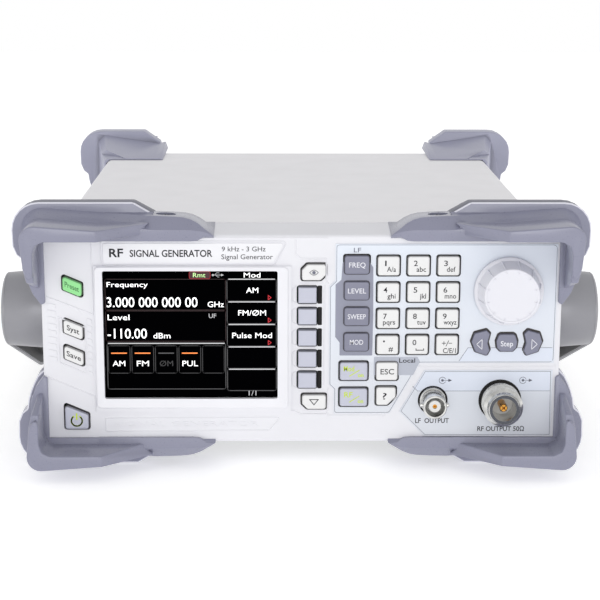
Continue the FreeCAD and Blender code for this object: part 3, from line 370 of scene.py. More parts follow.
def lathe(profile, x, z, steps=64):
    """A closed solid of revolution about the panel's depth axis from (radius, depth) points."""
    mesh = bmesh.new()
    columns = []
    poles = {}
    for step in range(steps):
        a = 2 * math.pi * step / steps
        columns.append([mesh.verts.new(at(x + radius * math.cos(a), depth, z + radius * math.sin(a)))
                        if radius else None for radius, depth in profile])
    for i, (radius, depth) in enumerate(profile):
        if not radius:
            poles[i] = mesh.verts.new(at(x, depth, z))
    for step in range(steps):
        here, there = columns[step], columns[(step + 1) % steps]
        for i in range(len(profile)):
            j = (i + 1) % len(profile)
            if i not in poles or j not in poles:
                ring = [here[i] or poles[i], there[i] or poles[i], there[j] or poles[j], here[j] or poles[j]]
                mesh.faces.new(list(dict.fromkeys(ring)))
    bmesh.ops.recalc_face_normals(mesh, faces=mesh.faces)
    return mesh


def glyphs(words, bold):
    """Solid lettering one unit in size, lying on its side's origin."""
    curve = bpy.data.curves.new("words", "FONT")
    curve.body = words
    curve.size = 1.0
    curve.offset = bold
    curve.extrude = 0.5
    curve.resolution_u = 3
    holder = link("words", curve)
    bpy.context.view_layer.update()
    data = bpy.data.meshes.new_from_object(holder.evaluated_get(bpy.context.evaluated_depsgraph_get()))
    mesh = bmesh.new()
    mesh.from_mesh(data)
    bmesh.ops.remove_doubles(mesh, verts=mesh.verts, dist=1e-4)
    bpy.data.objects.remove(holder)
    bpy.data.curves.remove(curve)
    bpy.data.meshes.remove(data)
    return mesh


def capital_height():
    mesh = glyphs("H", 0.0)
    height = max(v.co.y for v in mesh.verts) - min(v.co.y for v in mesh.verts)
    mesh.free()
    return height


CAPITAL = capital_height()


def text(words, left, right, base, cap, depth, bold=0.0, lean=0.0, thick=0.04):
    """Lettering between two sides, cap tall over its base line, its face a hair in front of depth."""
    mesh = glyphs(words, bold)
    low = min(v.co.x for v in mesh.verts)
    high = max(v.co.x for v in mesh.verts)
    wide, tall = (right - left) / (high - low), cap / CAPITAL
    for v in mesh.verts:
        x = left + (v.co.x - low) * wide
        z = base + v.co.y * tall + lean * (x - (left + right) / 2)
        v.co = at(x, depth - thick if v.co.z > 0 else depth + 0.08, z)
    return mesh


def line(points, width, front, back, closed=False):
    """A flat printed or raised line of constant width along panel points."""
    path = [Vector(p) for p in points]
    mesh = bmesh.new()
    for start, end in zip(path, path[1:] + path[:1] if closed else path[1:]):
        along = end - start
        if along.length < 1e-6:
            continue
        along.normalize()
        side = Vector((-along.y, along.x)) * width / 2
        a, b = start - along * width / 2, end + along * width / 2
        append(mesh, prism([a + side, a - side, b - side, b + side], front, back))
    return mesh


def ridge(points, width, height, closed=False):
    """A raised moulded line with sloping flanks, one continuous solid along panel points."""
    path = [Vector(p) for p in points]
    count = len(path)
    foot, top = 0.05, -height
    sections = []
    for i, p in enumerate(path):
        before = path[i - 1] if (i > 0 or closed) else None
        after = path[(i + 1) % count] if (i < count - 1 or closed) else None
        d1 = (p - before).normalized() if before is not None else (after - p).normalized()
        d2 = (after - p).normalized() if after is not None else d1
        n = (Vector((-d1.y, d1.x)) + Vector((-d2.y, d2.x))).normalized()
        n *= width / max(0.5, n.dot(Vector((-d1.y, d1.x))))
        sections.append([(p.x + n.x * part, depth, p.y + n.y * part)
                         for part, depth in ((0.5, foot), (0.2, top), (-0.2, top), (-0.5, foot))])
    return skin(sections, ends=not closed)


def box_points(left, bottom, right, top):
    return [(left, bottom), (right, bottom), (right, top), (left, top)]


def ring_plate(outer, inner, front, back, front_inner=None, bevel=0.3):
    """A frame between two loops of equal length; the front can slope from outer to inner depth."""
    layers = [flat(outer, back), flat(outer, front + bevel)]
    if bevel:
        layers.append(flat(grown(outer, -bevel), front))
    return skin(layers + [flat(inner, front if front_inner is None else front_inner), flat(inner, back)],
                ends=False)


def dot(x, z, radius, front, back, steps=24):
    return prism(circle(radius, steps, x, z), front, back)


def arc_points(x, z, radius, start, end, steps=16):
    angles = [math.radians(start + (end - start) * i / steps) for i in range(steps + 1)]
    return [(x + radius * math.cos(a), z + radius * math.sin(a)) for a in angles]


def stamp(shape, marks, depth, near, far, x=0.0, z=0.0):
    """Print marks round a place. Each is an ink, then words with their left, right, base, height, boldness
    and lean; or points to fill; or points with a line width and closed; or a dot's place, radius and steps.
    Words lie at depth, the others reach from near to far."""
    for ink, what, *rest in marks:
        if isinstance(what, str):
            left, right, base, height, *style = rest
            mesh = text(what, x + left, x + right, z + base, height, depth, *style)
        elif isinstance(what, tuple):
            mesh = dot(x + what[0], z + what[1], rest[0], near, far, rest[1])
        else:
            points = [(x + p[0], z + p[1]) for p in what]
            mesh = line(points, rest[0], near, far, rest[1]) if rest else prism(points, near, far)
        shape.add(mesh, ink)


# ---------------------------------------------------------------- keys

def middle_of(node):
    low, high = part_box(node)
    return (low.x + high.x) / 2 / MM, (low.z + high.z) / 2 / MM


def size_of(node):
    low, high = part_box(node)
    return (high.x - low.x) / MM, (high.z - low.z) / MM


KEY_FACE = -1.7
KEY_BACK = 3.2


def inner_loop(points, inset, radius):
    """The polygon moved inwards, with corners that stay concentric with the outer ones."""
    moved = grown([Vector(p) for p in points], -inset)
    return rounded([(p.x, p.y) for p in moved], max(0.12, radius - inset))


def keycap(shape, points, key, radius):
    """A moulded cap: a soft shoulder round a face that dips slightly in the middle."""
    steps = ((KEY_BACK - KEY_FACE, 0.22), (0.8, 0.22), (0.45, 0.3), (0.2, 0.45), (0.06, 0.65), (0.0, 0.9),
             (0.03, 1.5))
    edge, main = shape.slot(key + "_edge"), shape.slot(key)
    shape.add(skin([flat(inner_loop(points, inset, radius), KEY_FACE + depth) for depth, inset in steps]), key)
    # faces behind the shoulder take the darker copy: painted shade round the cap's face
    shoulder = FRONT + KEY_FACE + 0.14
    for face in shape.mesh.faces:
        if face.material_index == main and face.calc_center_median().y / MM > shoulder:
            face.material_index = edge


def key_body(node):
    """The body that a key's node rides on."""
    for body, nodes in frame["record"]["behaviour"]["bodies"].items():
        if node in nodes:
            return body
    raise KeyError(node)


SLANTED = ("preset_key", "system_key", "save_key")
ON_FILM = ("frequency_key", "level_key", "sweep_key", "modulation_key", "modulation_on_key", "rf_on_key",
           "escape_key", "help_key", "arrow_left_key", "step_key", "arrow_right_key")
ARROW = [(-2.3, -4.0), (2.7, -5.7), (4.0, -3.2), (3.1, 0.0), (4.0, 3.8), (2.3, 5.6), (-2.8, 4.2), (-4.1, 0.4)]
STEP = [(-2.7, -3.9), (2.7, -3.9), (4.2, -2.2), (4.6, 0.6), (3.7, 3.2), (2.7, 3.9), (-2.7, 3.9), (-3.7, 3.2),
        (-4.6, 0.6), (-4.2, -2.2)]


def key_loop(node):
    """A key's outline before its corners are rounded, with its middle."""
    (x, z), (w, h) = middle_of(node), size_of(node)
    loop = box_points(x - w / 2, z - h / 2, x + w / 2, z + h / 2)
    left, right, bottom, top = x - w / 2, x + w / 2, z - h / 2, z + h / 2
    if node in SLANTED:
        side, drop = 3.15, 1.75
        loop = [(left, z - side + drop), (right, z - side - drop), (right, z + side - drop),
                (left, z + side + drop)]
    elif node == "power_key":
        loop = [(left, bottom), (right, bottom), (right, bottom + 6.6), (left, bottom + 10.8)]
    elif node == "help_key":
        loop = [(left, bottom), (right - 3.6, bottom), (right, bottom + 3.6), (right, top), (left, top)]
    elif node == "view_key":
        loop = [(left, bottom), (right - 2.4, bottom), (right, bottom + 2.4), (right, top), (left + 2.4, top),
                (left, top - 2.4)]
    elif node == "page_down_key":
        loop = [(left + 2.4, bottom), (right, bottom), (right, top), (left, top), (left, bottom + 2.4)]
    elif node == "arrow_left_key":
        loop = [(x + px, z + pz) for px, pz in ARROW]
    elif node == "arrow_right_key":
        loop = [(x - px, z + pz) for px, pz in reversed(ARROW)]
    elif node == "step_key":
        loop = [(x + px, z + pz) for px, pz in STEP]
    return loop, x, z


SHAPED = ("arrow_left_key", "step_key", "arrow_right_key")


def key_radius(node):
    if node.startswith("soft"):
        return 0.6
    return 0.8 if node in SHAPED else 1.3


def spokes(loop, x, z, count=96):
    """The loop sampled where evenly turned spokes from a point cross it."""
    middle = Vector((x, z))
    out = []
    for step in range(count):
        a = 2 * math.pi * step / count
        tip = middle + Vector((math.cos(a), math.sin(a))) * 30
        hits = [geometry.intersect_line_line_2d(middle, tip, loop[i - 1], loop[i]) for i in range(len(loop))]
        out.append(max((hit for hit in hits if hit is not None), key=lambda hit: (hit - middle).length))
    return out


def make_key_gaps():
    """Painted shade: a dark ring in the gap round each key; and film-coloured infill where an opening is wider than
    its key.
    """
    gaps, infill = Shape(), Shape()
    keys = [node for nodes in frame["record"]["behaviour"]["bodies"].values() for node in nodes
            if node.endswith("_key")]
    for node in keys:
        loop, x, z = key_loop(node)
        radius = key_radius(node)
        face = -0.4 if node.startswith("digit") or node in ON_FILM else 0.0
        outer = inner_loop(loop, -0.3 if node in SHAPED else -0.06, radius)
        if node in SHAPED:
            outer = [p + Vector((0, 0.25)) for p in outer]
        # the dark ring is painted shade in the gap
        gaps.add(ring_plate(outer, inner_loop(loop, 0.17, radius), face - 0.07, face + 0.3, bevel=0), "gap")
        if node in SHAPED:
            w, h = (side / 2 + 0.7 for side in size_of(node))
            opening = [Vector(p) for p in box_points(x - w, z - h, x + w, z + h)]
            infill.add(ring_plate(spokes(opening, x, z), spokes(inner_loop(loop, -0.1, radius), x, z),
                                  face - 0.03, face + 0.3, bevel=0), "film")
    gaps.finish("key_gaps", "case")
    infill.finish("key_infill", "case")


INK = KEY_FACE + 0.02

# each digit key: its figure, and its second legend with that legend's left, right and base from the middle
LEGENDS = {
    "1": ("1", "A/a", -0.7, 2.9, -2.3), "2": ("2", "abc", -0.9, 2.9, -2.3), "3": ("3", "def", -0.8, 2.7, -2.3),
    "4": ("4", "ghi", -0.4, 2.9, -2.4), "5": ("5", "jkl", 0.6, 3.1, -2.4), "6": ("6", "mno", -1.4, 3.2, -2.4),
    "7": ("7", "pqrs", -2.0, 2.9, -2.3), "8": ("8", "tuv", -0.3, 3.2, -2.3), "9": ("9", "wxyz", -1.6, 3.6, -2.3),
    "point": ("", "#", 0.4, 2.2, -2.6), "0": ("0", "", 0, 0, 0), "sign": ("", "C/E/1", -1.6, 3.6, -3.3)}


def digit_marks(name, figure, second, left, right, base):
    half = 0.3 if figure == "1" else 0.75
    marks = [("ink", figure, -1.2 - half, -1.2 + half, 0.05, 2.15, 0.004)] if figure else []
    return marks + ([("ink", second, left, right, base, 2.0, 0.004)] if second else []) + EXTRA.get(name, [])


def make_key(node, tone, marks):
    """A cap with its print, the marks measured from the key's middle."""
    loop, x, z = key_loop(node)
    shape = Shape()
    keycap(shape, loop, tone, key_radius(node))
    stamp(shape, marks, INK, INK - 0.05, INK + 0.08, x, z)
    shape.finish("cap_" + node, key_body(node), [node])


EXTRA = {
    "point": [("ink", (-1.5, 1.6), 0.4, 12)],
    "0": [("ink", [(-0.5, -1.5), (-0.5, -2.1), (2.6, -2.1), (2.6, -1.5)], 0.3, False)],
    "sign": [("ink", [start, end], 0.22, False) for start, end in (
        ((-2.0, 0.8), (-0.6, 0.8)), ((-1.3, 0.1), (-1.3, 1.5)),
        ((-0.4, -0.4), (0.6, 1.8)), ((0.7, 0.8), (1.9, 0.8)))]}
LID = [(-1.75 + 3.5 * i / 10, 1.05 * math.sin(math.pi * i / 10)) for i in range(11)]
KEYS = [("digit_%s_key" % name, "key_white", digit_marks(name, *row)) for name, row in LEGENDS.items()]
KEYS += [(node, "key_dark", [("ink_white", words, 0.1 - half, 0.1 + half, -0.95, 2.0, 0.004)])
         for node, words, half in (("frequency_key", "FREQ", 3.3), ("level_key", "LEVEL", 3.65),
                                   ("sweep_key", "SWEEP", 3.65), ("modulation_key", "MOD", 2.7))]
KEYS += [(node, "key_grey", [("ink_lime", words, left, right, 0.1, 2.15, 0.012),
                             ("ink_lime", [(-1.6, -1.9), (2.2, 0.5)], 0.34, False),
                             ("ink_lime", "on", 1.7, 4.0, -2.3, 1.6, 0.02)])
         for node, words, left, right in (("modulation_on_key", "Mod", -4.1, 0.2), ("rf_on_key", "RF", -3.8, -0.4))]
KEYS += [("escape_key", "key_white", [("ink", "ESC", -2.6, 2.9, -1.2, 2.2, 0.004)]),
         ("help_key", "key_white", [("ink", "?", -1.3, 0.3, -1.3, 2.7)])]
KEYS += [(node, tone, [(ink, words, -half, half, -0.95, 2.1, 0.008, -0.42)]) for node, words, half, tone, ink in (
    ("preset_key", "Preset", 2.8, "key_green", "ink_green"), ("system_key", "Syst", 2.45, "key_white", "ink"),
    ("save_key", "Save", 2.85, "key_white", "ink"))]
KEYS += [("power_key", "key_grey", [("ink_lime", arc_points(0, -1.4, 2.2, 125, 415, 20), 0.6, False),
                                    ("ink_lime", [(0, -0.7), (0, 1.5)], 0.6, False)])]
KEYS += [("soft_key_%d" % number, "key_grey", []) for number in range(1, 6)]
KEYS += [("view_key", "key_white", [("ink_grey", LID, 0.22, False), ("ink_grey", (0, 0), 0.7, 16),
                                    ("ink_grey", [(x, -z) for x, z in LID], 0.22, False)]),
         ("page_down_key", "key_white", [("ink", [(-1.75, 1.1), (1.75, 1.1), (0, -1.1)], 0.3, True)])]
KEYS += [(node, "key_dark", [("ink_white", [(side * 1.7, -0.5), (-side * 0.5, 1.6), (-side * 0.5, -2.6)],
                              0.26, True)]) for node, side in (("arrow_left_key", -1), ("arrow_right_key", 1))]
KEYS += [("step_key", "key_dark", [("ink_white", "Step", -2.5, 2.5, -1.3, 2.1, 0.008)])]

make_key_gaps()
for row in KEYS:
    make_key(*row)


# ---------------------------------------------------------------- front panel

SOFT_ROWS = [73.75 - 8.86 * row for row in range(5)]


def make_panel_trim():
    """Moulded relief on the bezel: label plate, display surround, ridges and tooth columns."""
    shape = Shape()
    face = -0.45
    shape.add(slab([(-79.8, 86.8), (-11.6, 86.8), (-7.1, 94.9), (-79.8, 94.9)], face, 0.2, 1.0, 0.25), "plate")
    border = rounded([(-80.6, 86.0), (-11.0, 86.0), (-5.9, 95.6), (-80.6, 95.6)], 1.2)
    shape.add(ridge(border, 0.5, 0.35, closed=True), "bezel")
    stamp(shape, [("ink", "RF", -77.2, -71.6, 89.3, 3.3, 0.02),
                  ("ink", "SIGNAL GENERATOR", -69.0, -36.0, 89.4, 2.7, 0.016),
                  ("ink", "9 kHz - 3 GHz", -32.2, -14.7, 91.6, 1.9),
                  ("ink", "Signal Generator", -32.4, -11.8, 88.4, 1.95)], face, face, face)
    shape.finish("label_plate", "case")

    shape = Shape()
    outer = rounded(box_points(-83.4, 26.6, -5.6, 85.4), 1.8)
    inner = rounded(box_points(-80.2, 30.5, -9.9, 83.6), 0.8)
    shape.add(ring_plate(outer, inner, -1.7, -0.1, -1.06), "surround")
    shape.finish("display_surround", "case")

    shape = Shape()
    for path in (
            [(-104.2, 73.5), (-102.6, 72.9), (-84.3, 65.6), (-84.3, 97.0)],
            [(-104.4, 40.1), (-84.3, 31.4), (-83.9, 25.0), (-3.4, 25.0), (-0.6, 23.6)],
            [(-2.6, 96.0), (-2.6, 90.4), (-0.6, 88.6), (9.6, 88.6)], [(10.6, 78.0), (9.6, 79.6), (9.6, 88.6)],
            [(-0.6, 23.6), (10.4, 23.6), (10.6, 34.6)], [(9.0, 36.0), (9.0, 77.5)],
            [(33.5, 22.6), (46.2, 43.7), (102.6, 43.7), (103.4, 44.4)],
            [(10.4, 23.0), (33.0, 23.0)], [(-84.3, 97.0), (10.0, 97.0)]):
        shape.add(ridge(path, 0.7, 0.22), "bezel")
    for path in (rounded([(-80.3, 16.6), (-13.3, 16.6), (-8.8, 22.1), (-80.3, 22.1)], 0.6),
                 [(-98.3, 64.5), (-87.6, 60.2), (-87.6, 41.0), (-98.3, 45.6)]):
        shape.add(ridge(path, 0.7, 0.22, closed=True), "bezel")
    for left, right, first, rises in ((-102.7, -99.2, 47.5, (-0.75, -1.5, 0.2, 0.95)),
                                      (-86.9, -84.9, 40.7, (-0.2, -1.1, 0.6, 1.5))):
        for place in range(9):
            tooth = [(x, first + place * 2.75 + rise) for x, rise in zip((left, right, right, left), rises)]
            shape.add(slab(tooth, -0.3, 0.1, 0.2, 0.12), "bezel")
    for z in SOFT_ROWS:
        shape.add(ridge([(-2.6, z + 3.4), (-3.9, z + 2.4), (-3.9, z - 2.6), (-2.6, z - 3.4)], 0.5, 0.2), "bezel")
    shape.add(text("SIGNAL GENERATOR", -76.2, -17.6, 18.4, 2.1, 0.0, thick=0.22), "bezel")
    shape.finish("bezel_relief", "case")

    shape = Shape()
    # painted shade: a dark plate in the gap beside each soft key
    for z in SOFT_ROWS:
        shape.add(slab(box_points(6.25, z - 3.75, 8.0, z + 3.75), -0.05, 1.6, 0.4), "slot")
    shape.finish("soft_key_slots", "case")


def make_prints():
    """What is printed on the two films."""
    shape = Shape()
    face, back = -0.4, -0.3
    backing = [(15.2, 48.5), (28.5, 48.5), (28.7, 65.4), (28.5, 85.0), (27.0, 87.2), (16.2, 87.2),
               (15.7, 79.9), (13.4, 78.0), (13.4, 56.3), (15.2, 53.9)]
    tag = [(29.2, 40.2), (45.2, 40.2), (48.0, 46.0), (46.9, 47.9), (29.2, 47.9)]
    stamp(shape, [("backing", rounded(backing, 0.4)), ("tag", rounded(tag, 0.5)),
                  ("film_tint", [(64.0, 46.0), (101.9, 46.0), (101.9, 51.6), (67.3, 51.6)]),
                  ("ink", "Local", 39.5, 46.0, 45.5, 1.8, 0.008)], face - 0.05, face - 0.05, back)
    edge = rounded([(13.4, 24.4), (35.6, 24.4), (47.6, 45.7), (102.2, 45.7), (102.2, 94.2), (13.8, 94.2),
                    (13.8, 79.4), (11.4, 77.0), (11.4, 36.4), (13.4, 34.4)],
                   [0.8, 1.2, 1.5, 1.5, 1.5, 1.0, 0.6, 0.6, 0.6, 0.6])
    stamp(shape, [("ink_grey", "LF", 20.6, 23.5, 91.2, 1.8, 0.004), ("ink_grey", edge, 0.16, True)],
          face, face - 0.03, back)
    stamp(shape, [("ink_grey", [(63.9, 46.2), (67.4, 51.7), (101.6, 51.7)], 0.16, False)],
          face, face - 0.06, back)
    shape.finish("keypad_print", "case", slot="overlay_film")

    shape = Shape()
    face, back = -0.5, -0.4
    edge = [(50.6, 14.9), (101.8, 14.9), (101.4, 41.7), (50.2, 41.7), (40.6, 25.0)]
    tint = [(47.3, 33.6), (101.2, 33.6), (101.2, 41.5), (50.3, 41.5), (45.8, 35.2)]
    stamp(shape, [("ink_grey", edge, 0.16, True),
                  ("ink_grey", [(45.2, 35.5), (47.2, 33.5), (101.3, 33.5)], 0.16, False),
                  ("ink", "LF  OUTPUT", 46.5, 60.3, 19.9, 1.95, 0.012),
                  ("ink", "RF OUTPUT 50Ω", 72.1, 91.3, 16.4, 1.95, 0.012)], face, face - 0.03, back)
    shape.add(prism(tint, face - 0.02, back), "film_tint")
    for x in (57.3, 90.2):
        stamp(shape, [("ink_grey", arc_points(0, 0, 1.35, 25, 335, 20), 0.2, False), ("ink_grey", (0, 0), 0.55, 14),
                      ("ink_grey", [(0, 0), (3.4, 0)], 0.2, False),
                      ("ink_grey", [(2.4, -0.7), (3.9, 0), (2.4, 0.7)])], face, face - 0.03, back, x, 38.0)
    shape.finish("connector_print", "case", slot="overlay_film")


# ---------------------------------------------------------------- display

def framed(left, bottom, right, top, key="lit_grey", width=0.3, radius=0.8):
    """The mark of a thin rounded frame."""
    return (key, rounded(box_points(left, bottom, right, top), radius), width, True)


def make_screen():
    """The dark glass, and the lit picture just in front of it."""
    low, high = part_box("display_window")
    shape = Shape()
    shape.add(slab(box_points(low.x / MM, low.z / MM, high.x / MM, high.z / MM), 0.6, 2.6, 0.5, 0.15), "screen")
    shape.finish("screen_glass", "case", ["display_window"], slot="display_glass")

    white, soft = "lit_white", "lit_soft"
    marks = [
        ("lit_tag", rounded(box_points(-45.4, 80.2, -37.0, 83.1), 0.6)),
        framed(-45.4, 80.2, -37.0, 83.1, "lit_red", 0.16, 0.6), ("lit_lime", "Rmt", -43.9, -38.9, 80.8, 1.8),
        (soft, [(-36.0, 81.7), (-32.2, 81.7)], 0.2, False), (soft, (-35.9, 81.7), 0.45, 12),
        (soft, [(-35.2, 81.7), (-34.4, 82.6), (-33.4, 82.6)], 0.16, False),
        (soft, [(-34.8, 81.7), (-34.0, 80.9), (-33.4, 80.9)], 0.16, False),
        (soft, [(-32.6, 81.2), (-31.5, 81.7), (-32.6, 82.2)]),
        (white, "Mod", -23.5, -16.8, 80.7, 2.0), (white, "Frequency", -78.6, -62.1, 76.8, 2.0),
        (white, "3.000 000 000 00", -78.8, -42.2, 68.5, 4.0, 0.004), (white, "GHz", -38.1, -31.6, 68.5, 2.25),
        (white, "Level", -78.5, -69.7, 63.1, 2.3), (soft, "UF", -37.7, -34.7, 64.0, 1.75),
        (white, "-110.00", -78.7, -62.8, 55.5, 4.0, 0.004), (white, "dBm", -60.2, -53.3, 55.5, 2.25),
        framed(-79.3, 67.3, -30.9, 80.0, "lit_maroon", 0.2, 0.5),
        framed(-79.3, 54.3, -30.9, 66.9, "lit_maroon", 0.2, 0.5),
        framed(-79.0, 34.2, -31.0, 53.4), (soft, "1/1", -21.7, -18.6, 31.4, 2.0)]
    heads = [(soft, [(-78.4, 53.4), (-31.6, 53.4)], 0.42, False)]
    tabs = (("AM", -76.9, -71.8), ("FM", -67.1, -62.2), ("ØM", -57.8, -52.4), ("PUL", -48.6, -42.3), None)
    for place, words in enumerate(tabs):
        x = -78.6 + place * 9.55
        marks.append(framed(x, 40.9, x + 8.8, 52.4, "lit_dim", 0.28))
        if words:
            ink, bar = ("lit_dim", "lit_grey") if words[0] == "ØM" else (white, "lit_orange")
            marks += [(ink, *words, 43.85, 2.25), (bar, [(x + 1.4, 49.3), (x + 7.3, 49.3)], 0.45, False)]
    menu = (("AM", -22.6, -17.7), ("FM/ØM", -25.8, -14.6), ("Pulse Mod", -28.3, -12.2), None, None)
    for place, words in enumerate(menu):
        head = 80.0 - place * 9.37
        marks.append(framed(-30.3, head - 9.05, -10.4, head))
        heads.append((soft, [(-29.5, head), (-11.2, head)], 0.42, False))
        if words:
            z = head - 7.6
            marks += [(white, *words, head - 5.65, 2.2),
                      ("lit_red", [(-13.7, z - 0.9), (-13.7, z + 0.9), (-12.5, z)], 0.24, True)]
    glow, back = 0.54, 0.62
    shape = Shape()
    stamp(shape, marks, glow, glow, back)
    stamp(shape, heads, glow, glow - 0.01, back)
    shape.finish("screen_picture", "case", slot="display_glass")


# ---------------------------------------------------------------- knob and connectors

def spoke(angle):
    """Unit vectors outwards and sideways at an angle in degrees."""
    a = math.radians(angle)
    return Vector((math.cos(a), math.sin(a))), Vector((-math.sin(a), math.cos(a)))


def make_knob():
    x, z = 83.1, 75.5
    shape = Shape()
    face, base = -11.7, -0.95
    profile = [(0, face + 0.42), (9.2, face + 0.42), (10.0, face + 0.3), (10.35, face + 0.02),
               (10.7, face - 0.02), (11.0, face + 0.12), (11.2, face + 0.5), (12.5, base - 2.9), (12.8, base - 2.3),
               (13.6, base - 1.95), (13.95, base - 1.7), (14.0, base - 1.4), (14.0, base - 0.1), (13.8, base),
               (0, base)]
    shape.add(lathe(profile, x, z, 96), "knob")
    for notch in range(12):
        out, side = spoke(15 + 30 * notch)
        layers = []
        for depth, radius, half in ((face - 0.12, 10.5, 0.16), (face + 0.55, 11.35, 0.3),
                                    (face + 4.4, 11.9, 0.55), (base - 2.6, 12.75, 0.95)):
            near, far = out * (radius - 1.3), out * (radius + 0.42)
            quad = (near + side * half, far + side * half / 4, far - side * half / 4, near - side * half)
            layers.append([(x + p.x, depth, z + p.y) for p in quad])
        shape.add(skin(layers), "knob")
    shape.finish("tuning_knob", "knob", ["control_knob"], angle=30)


def turned_set(shape, x, z, parts):
    """Turned parts about one axis: each a material, a number of steps and a profile."""
    for key, steps, *profile in parts:
        shape.add(lathe(profile, x, z, steps), key)


def make_n_socket():
    x, z = 81.0, 29.6
    shape = Shape()
    shell = [(4.75, -14.5), (6.0, -14.5), (6.2, -14.3), (6.25, -13.2), (6.7, -12.2), (7.5, -11.7)]
    crest, root, pitch = 7.94, 7.45, 1.06
    depth = -11.7
    while depth < -4.6:
        shell += [(crest, depth + 0.35), (crest, depth + 0.55), (root, depth + 0.9), (root, depth + 1.05)]
        depth += pitch
    shell += [(7.3, -4.2), (7.3, -3.6), (7.8, -3.5), (7.94, -3.3), (7.94, -0.6), (4.75, -0.6)]
    # the thin dark ring behind the shell is painted shade where the socket meets the panel
    turned_set(shape, x, z, (
        ("nickel", 72, *shell), ("slot", 64, (7.7, -0.66), (8.75, -0.66), (8.75, -0.4), (7.7, -0.4)),
        ("nickel_dark", 64, (4.78, -14.62), (5.9, -14.62), (5.98, -14.5), (4.78, -14.3)),
        ("dielectric", 48, (0, -4.6), (4.7, -4.6), (4.7, -3.0), (0, -3.0)),
        ("gold", 32, (0.55, -12.0), (1.35, -12.0), (1.6, -11.7), (1.6, -4.0), (0, -4.0), (0, -9.5), (0.55, -9.5))))
    # painted shade: four dark bars for the slits in the centre contact
    middle, half = Vector((x, z)), 0.12
    for turn in range(4):
        out, side = spoke(45 + 90 * turn)
        near, far, wide = middle + out * 0.5, middle + out * 1.68, side * half
        shape.add(prism([near + wide, far + wide, far - wide, near - wide], -12.03, -9.0), "black")
    shape.finish("rf_socket", "case", ["rf_output_socket"], angle=28)


def make_bnc_socket():
    x, z = 53.5, 29.6
    shape = Shape()
    turned_set(shape, x, z, (
        ("nickel", 64, (4.0, -11.0), (4.6, -11.0), (4.83, -10.75), (4.83, -8.5), (4.55, -8.35), (4.5, -3.0),
         (4.83, -2.6), (4.9, -1.6), (5.3, -1.4), (5.4, -1.2), (5.4, -0.4), (4.0, -0.4)),
        ("dielectric", 40, (0.95, -9.7), (2.3, -9.7), (2.5, -9.5), (2.5, -3.0), (3.95, -3.0), (3.95, -2.4),
         (0.95, -2.4)),
        ("gold", 24, (0.4, -9.2), (0.85, -9.2), (0.95, -9.0), (0.95, -3.0), (0, -3.0), (0, -7.2), (0.4, -7.2))))
    for side in (-1, 1):
        shape.add(skin([[(x + side * reach, d, pz) for d, pz in circle(radius, 16, -7.4, z)] for reach, radius in (
            (3.9, 0.95), (5.7, 0.95), (5.85, 0.83), (5.9, 0.6))]), "nickel")
    # painted shade: a dark ring where the socket meets the panel
    turned_set(shape, x, z, [("slot", 48, (5.45, -0.56), (6.1, -0.56), (6.1, -0.4), (5.45, -0.4))])
    shape.finish("lf_socket", "case", ["lf_output_socket"], angle=28)


# ---------------------------------------------------------------- bumpers

def holder_of(part, bevel=0.0):
    """A bmesh as a scratch object, its edges softened."""
    holder = link("part", mesh_data("part", part))
    if bevel:
        modifier = holder.modifiers.new("edges", "BEVEL")
        modifier.width = bevel * MM
        modifier.segments = 3
        modifier.limit_method = "ANGLE"
        modifier.angle_limit = math.radians(24)
        modifier.miter_outer = "MITER_ARC"
    return holder


def combined(parts, cutter):
    """The (mesh, bevel) parts joined into one, less the cutter."""
    holders = [holder_of(part, bevel) for part, bevel in parts] + [holder_of(cutter)]
    for other in holders[1:]:
        modifier = holders[0].modifiers.new("join", "BOOLEAN")
        modifier.operation = "DIFFERENCE" if other == holders[-1] else "UNION"
        modifier.solver = "EXACT"
        modifier.object = other
    bpy.context.view_layer.update()
    data = bpy.data.meshes.new_from_object(holders[0].evaluated_get(bpy.context.evaluated_depsgraph_get()))
    mesh = bmesh.new()
    mesh.from_mesh(data)
    bpy.data.meshes.remove(data)
    for item in holders:
        old = item.data
        bpy.data.objects.remove(item)
        bpy.data.meshes.remove(old)
    return mesh


def curve_points(start, middle, end, steps=6):
    """Points between the ends of the arc through three points."""
    a, b, c = Vector(start), Vector(middle), Vector(end)
    d = 2 * (a.x * (b.y - c.y) + b.x * (c.y - a.y) + c.x * (a.y - b.y))
    a2, b2, c2 = a.length_squared, b.length_squared, c.length_squared
    centre = Vector((a2 * (b.y - c.y) + b2 * (c.y - a.y) + c2 * (a.y - b.y),
                     a2 * (c.x - b.x) + b2 * (a.x - c.x) + c2 * (b.x - a.x))) / d
    turn = (a - centre).angle_signed(c - centre)
    return [tuple(centre + Matrix.Rotation(-turn * step / steps, 2) @ (a - centre)) for step in range(1, steps)]


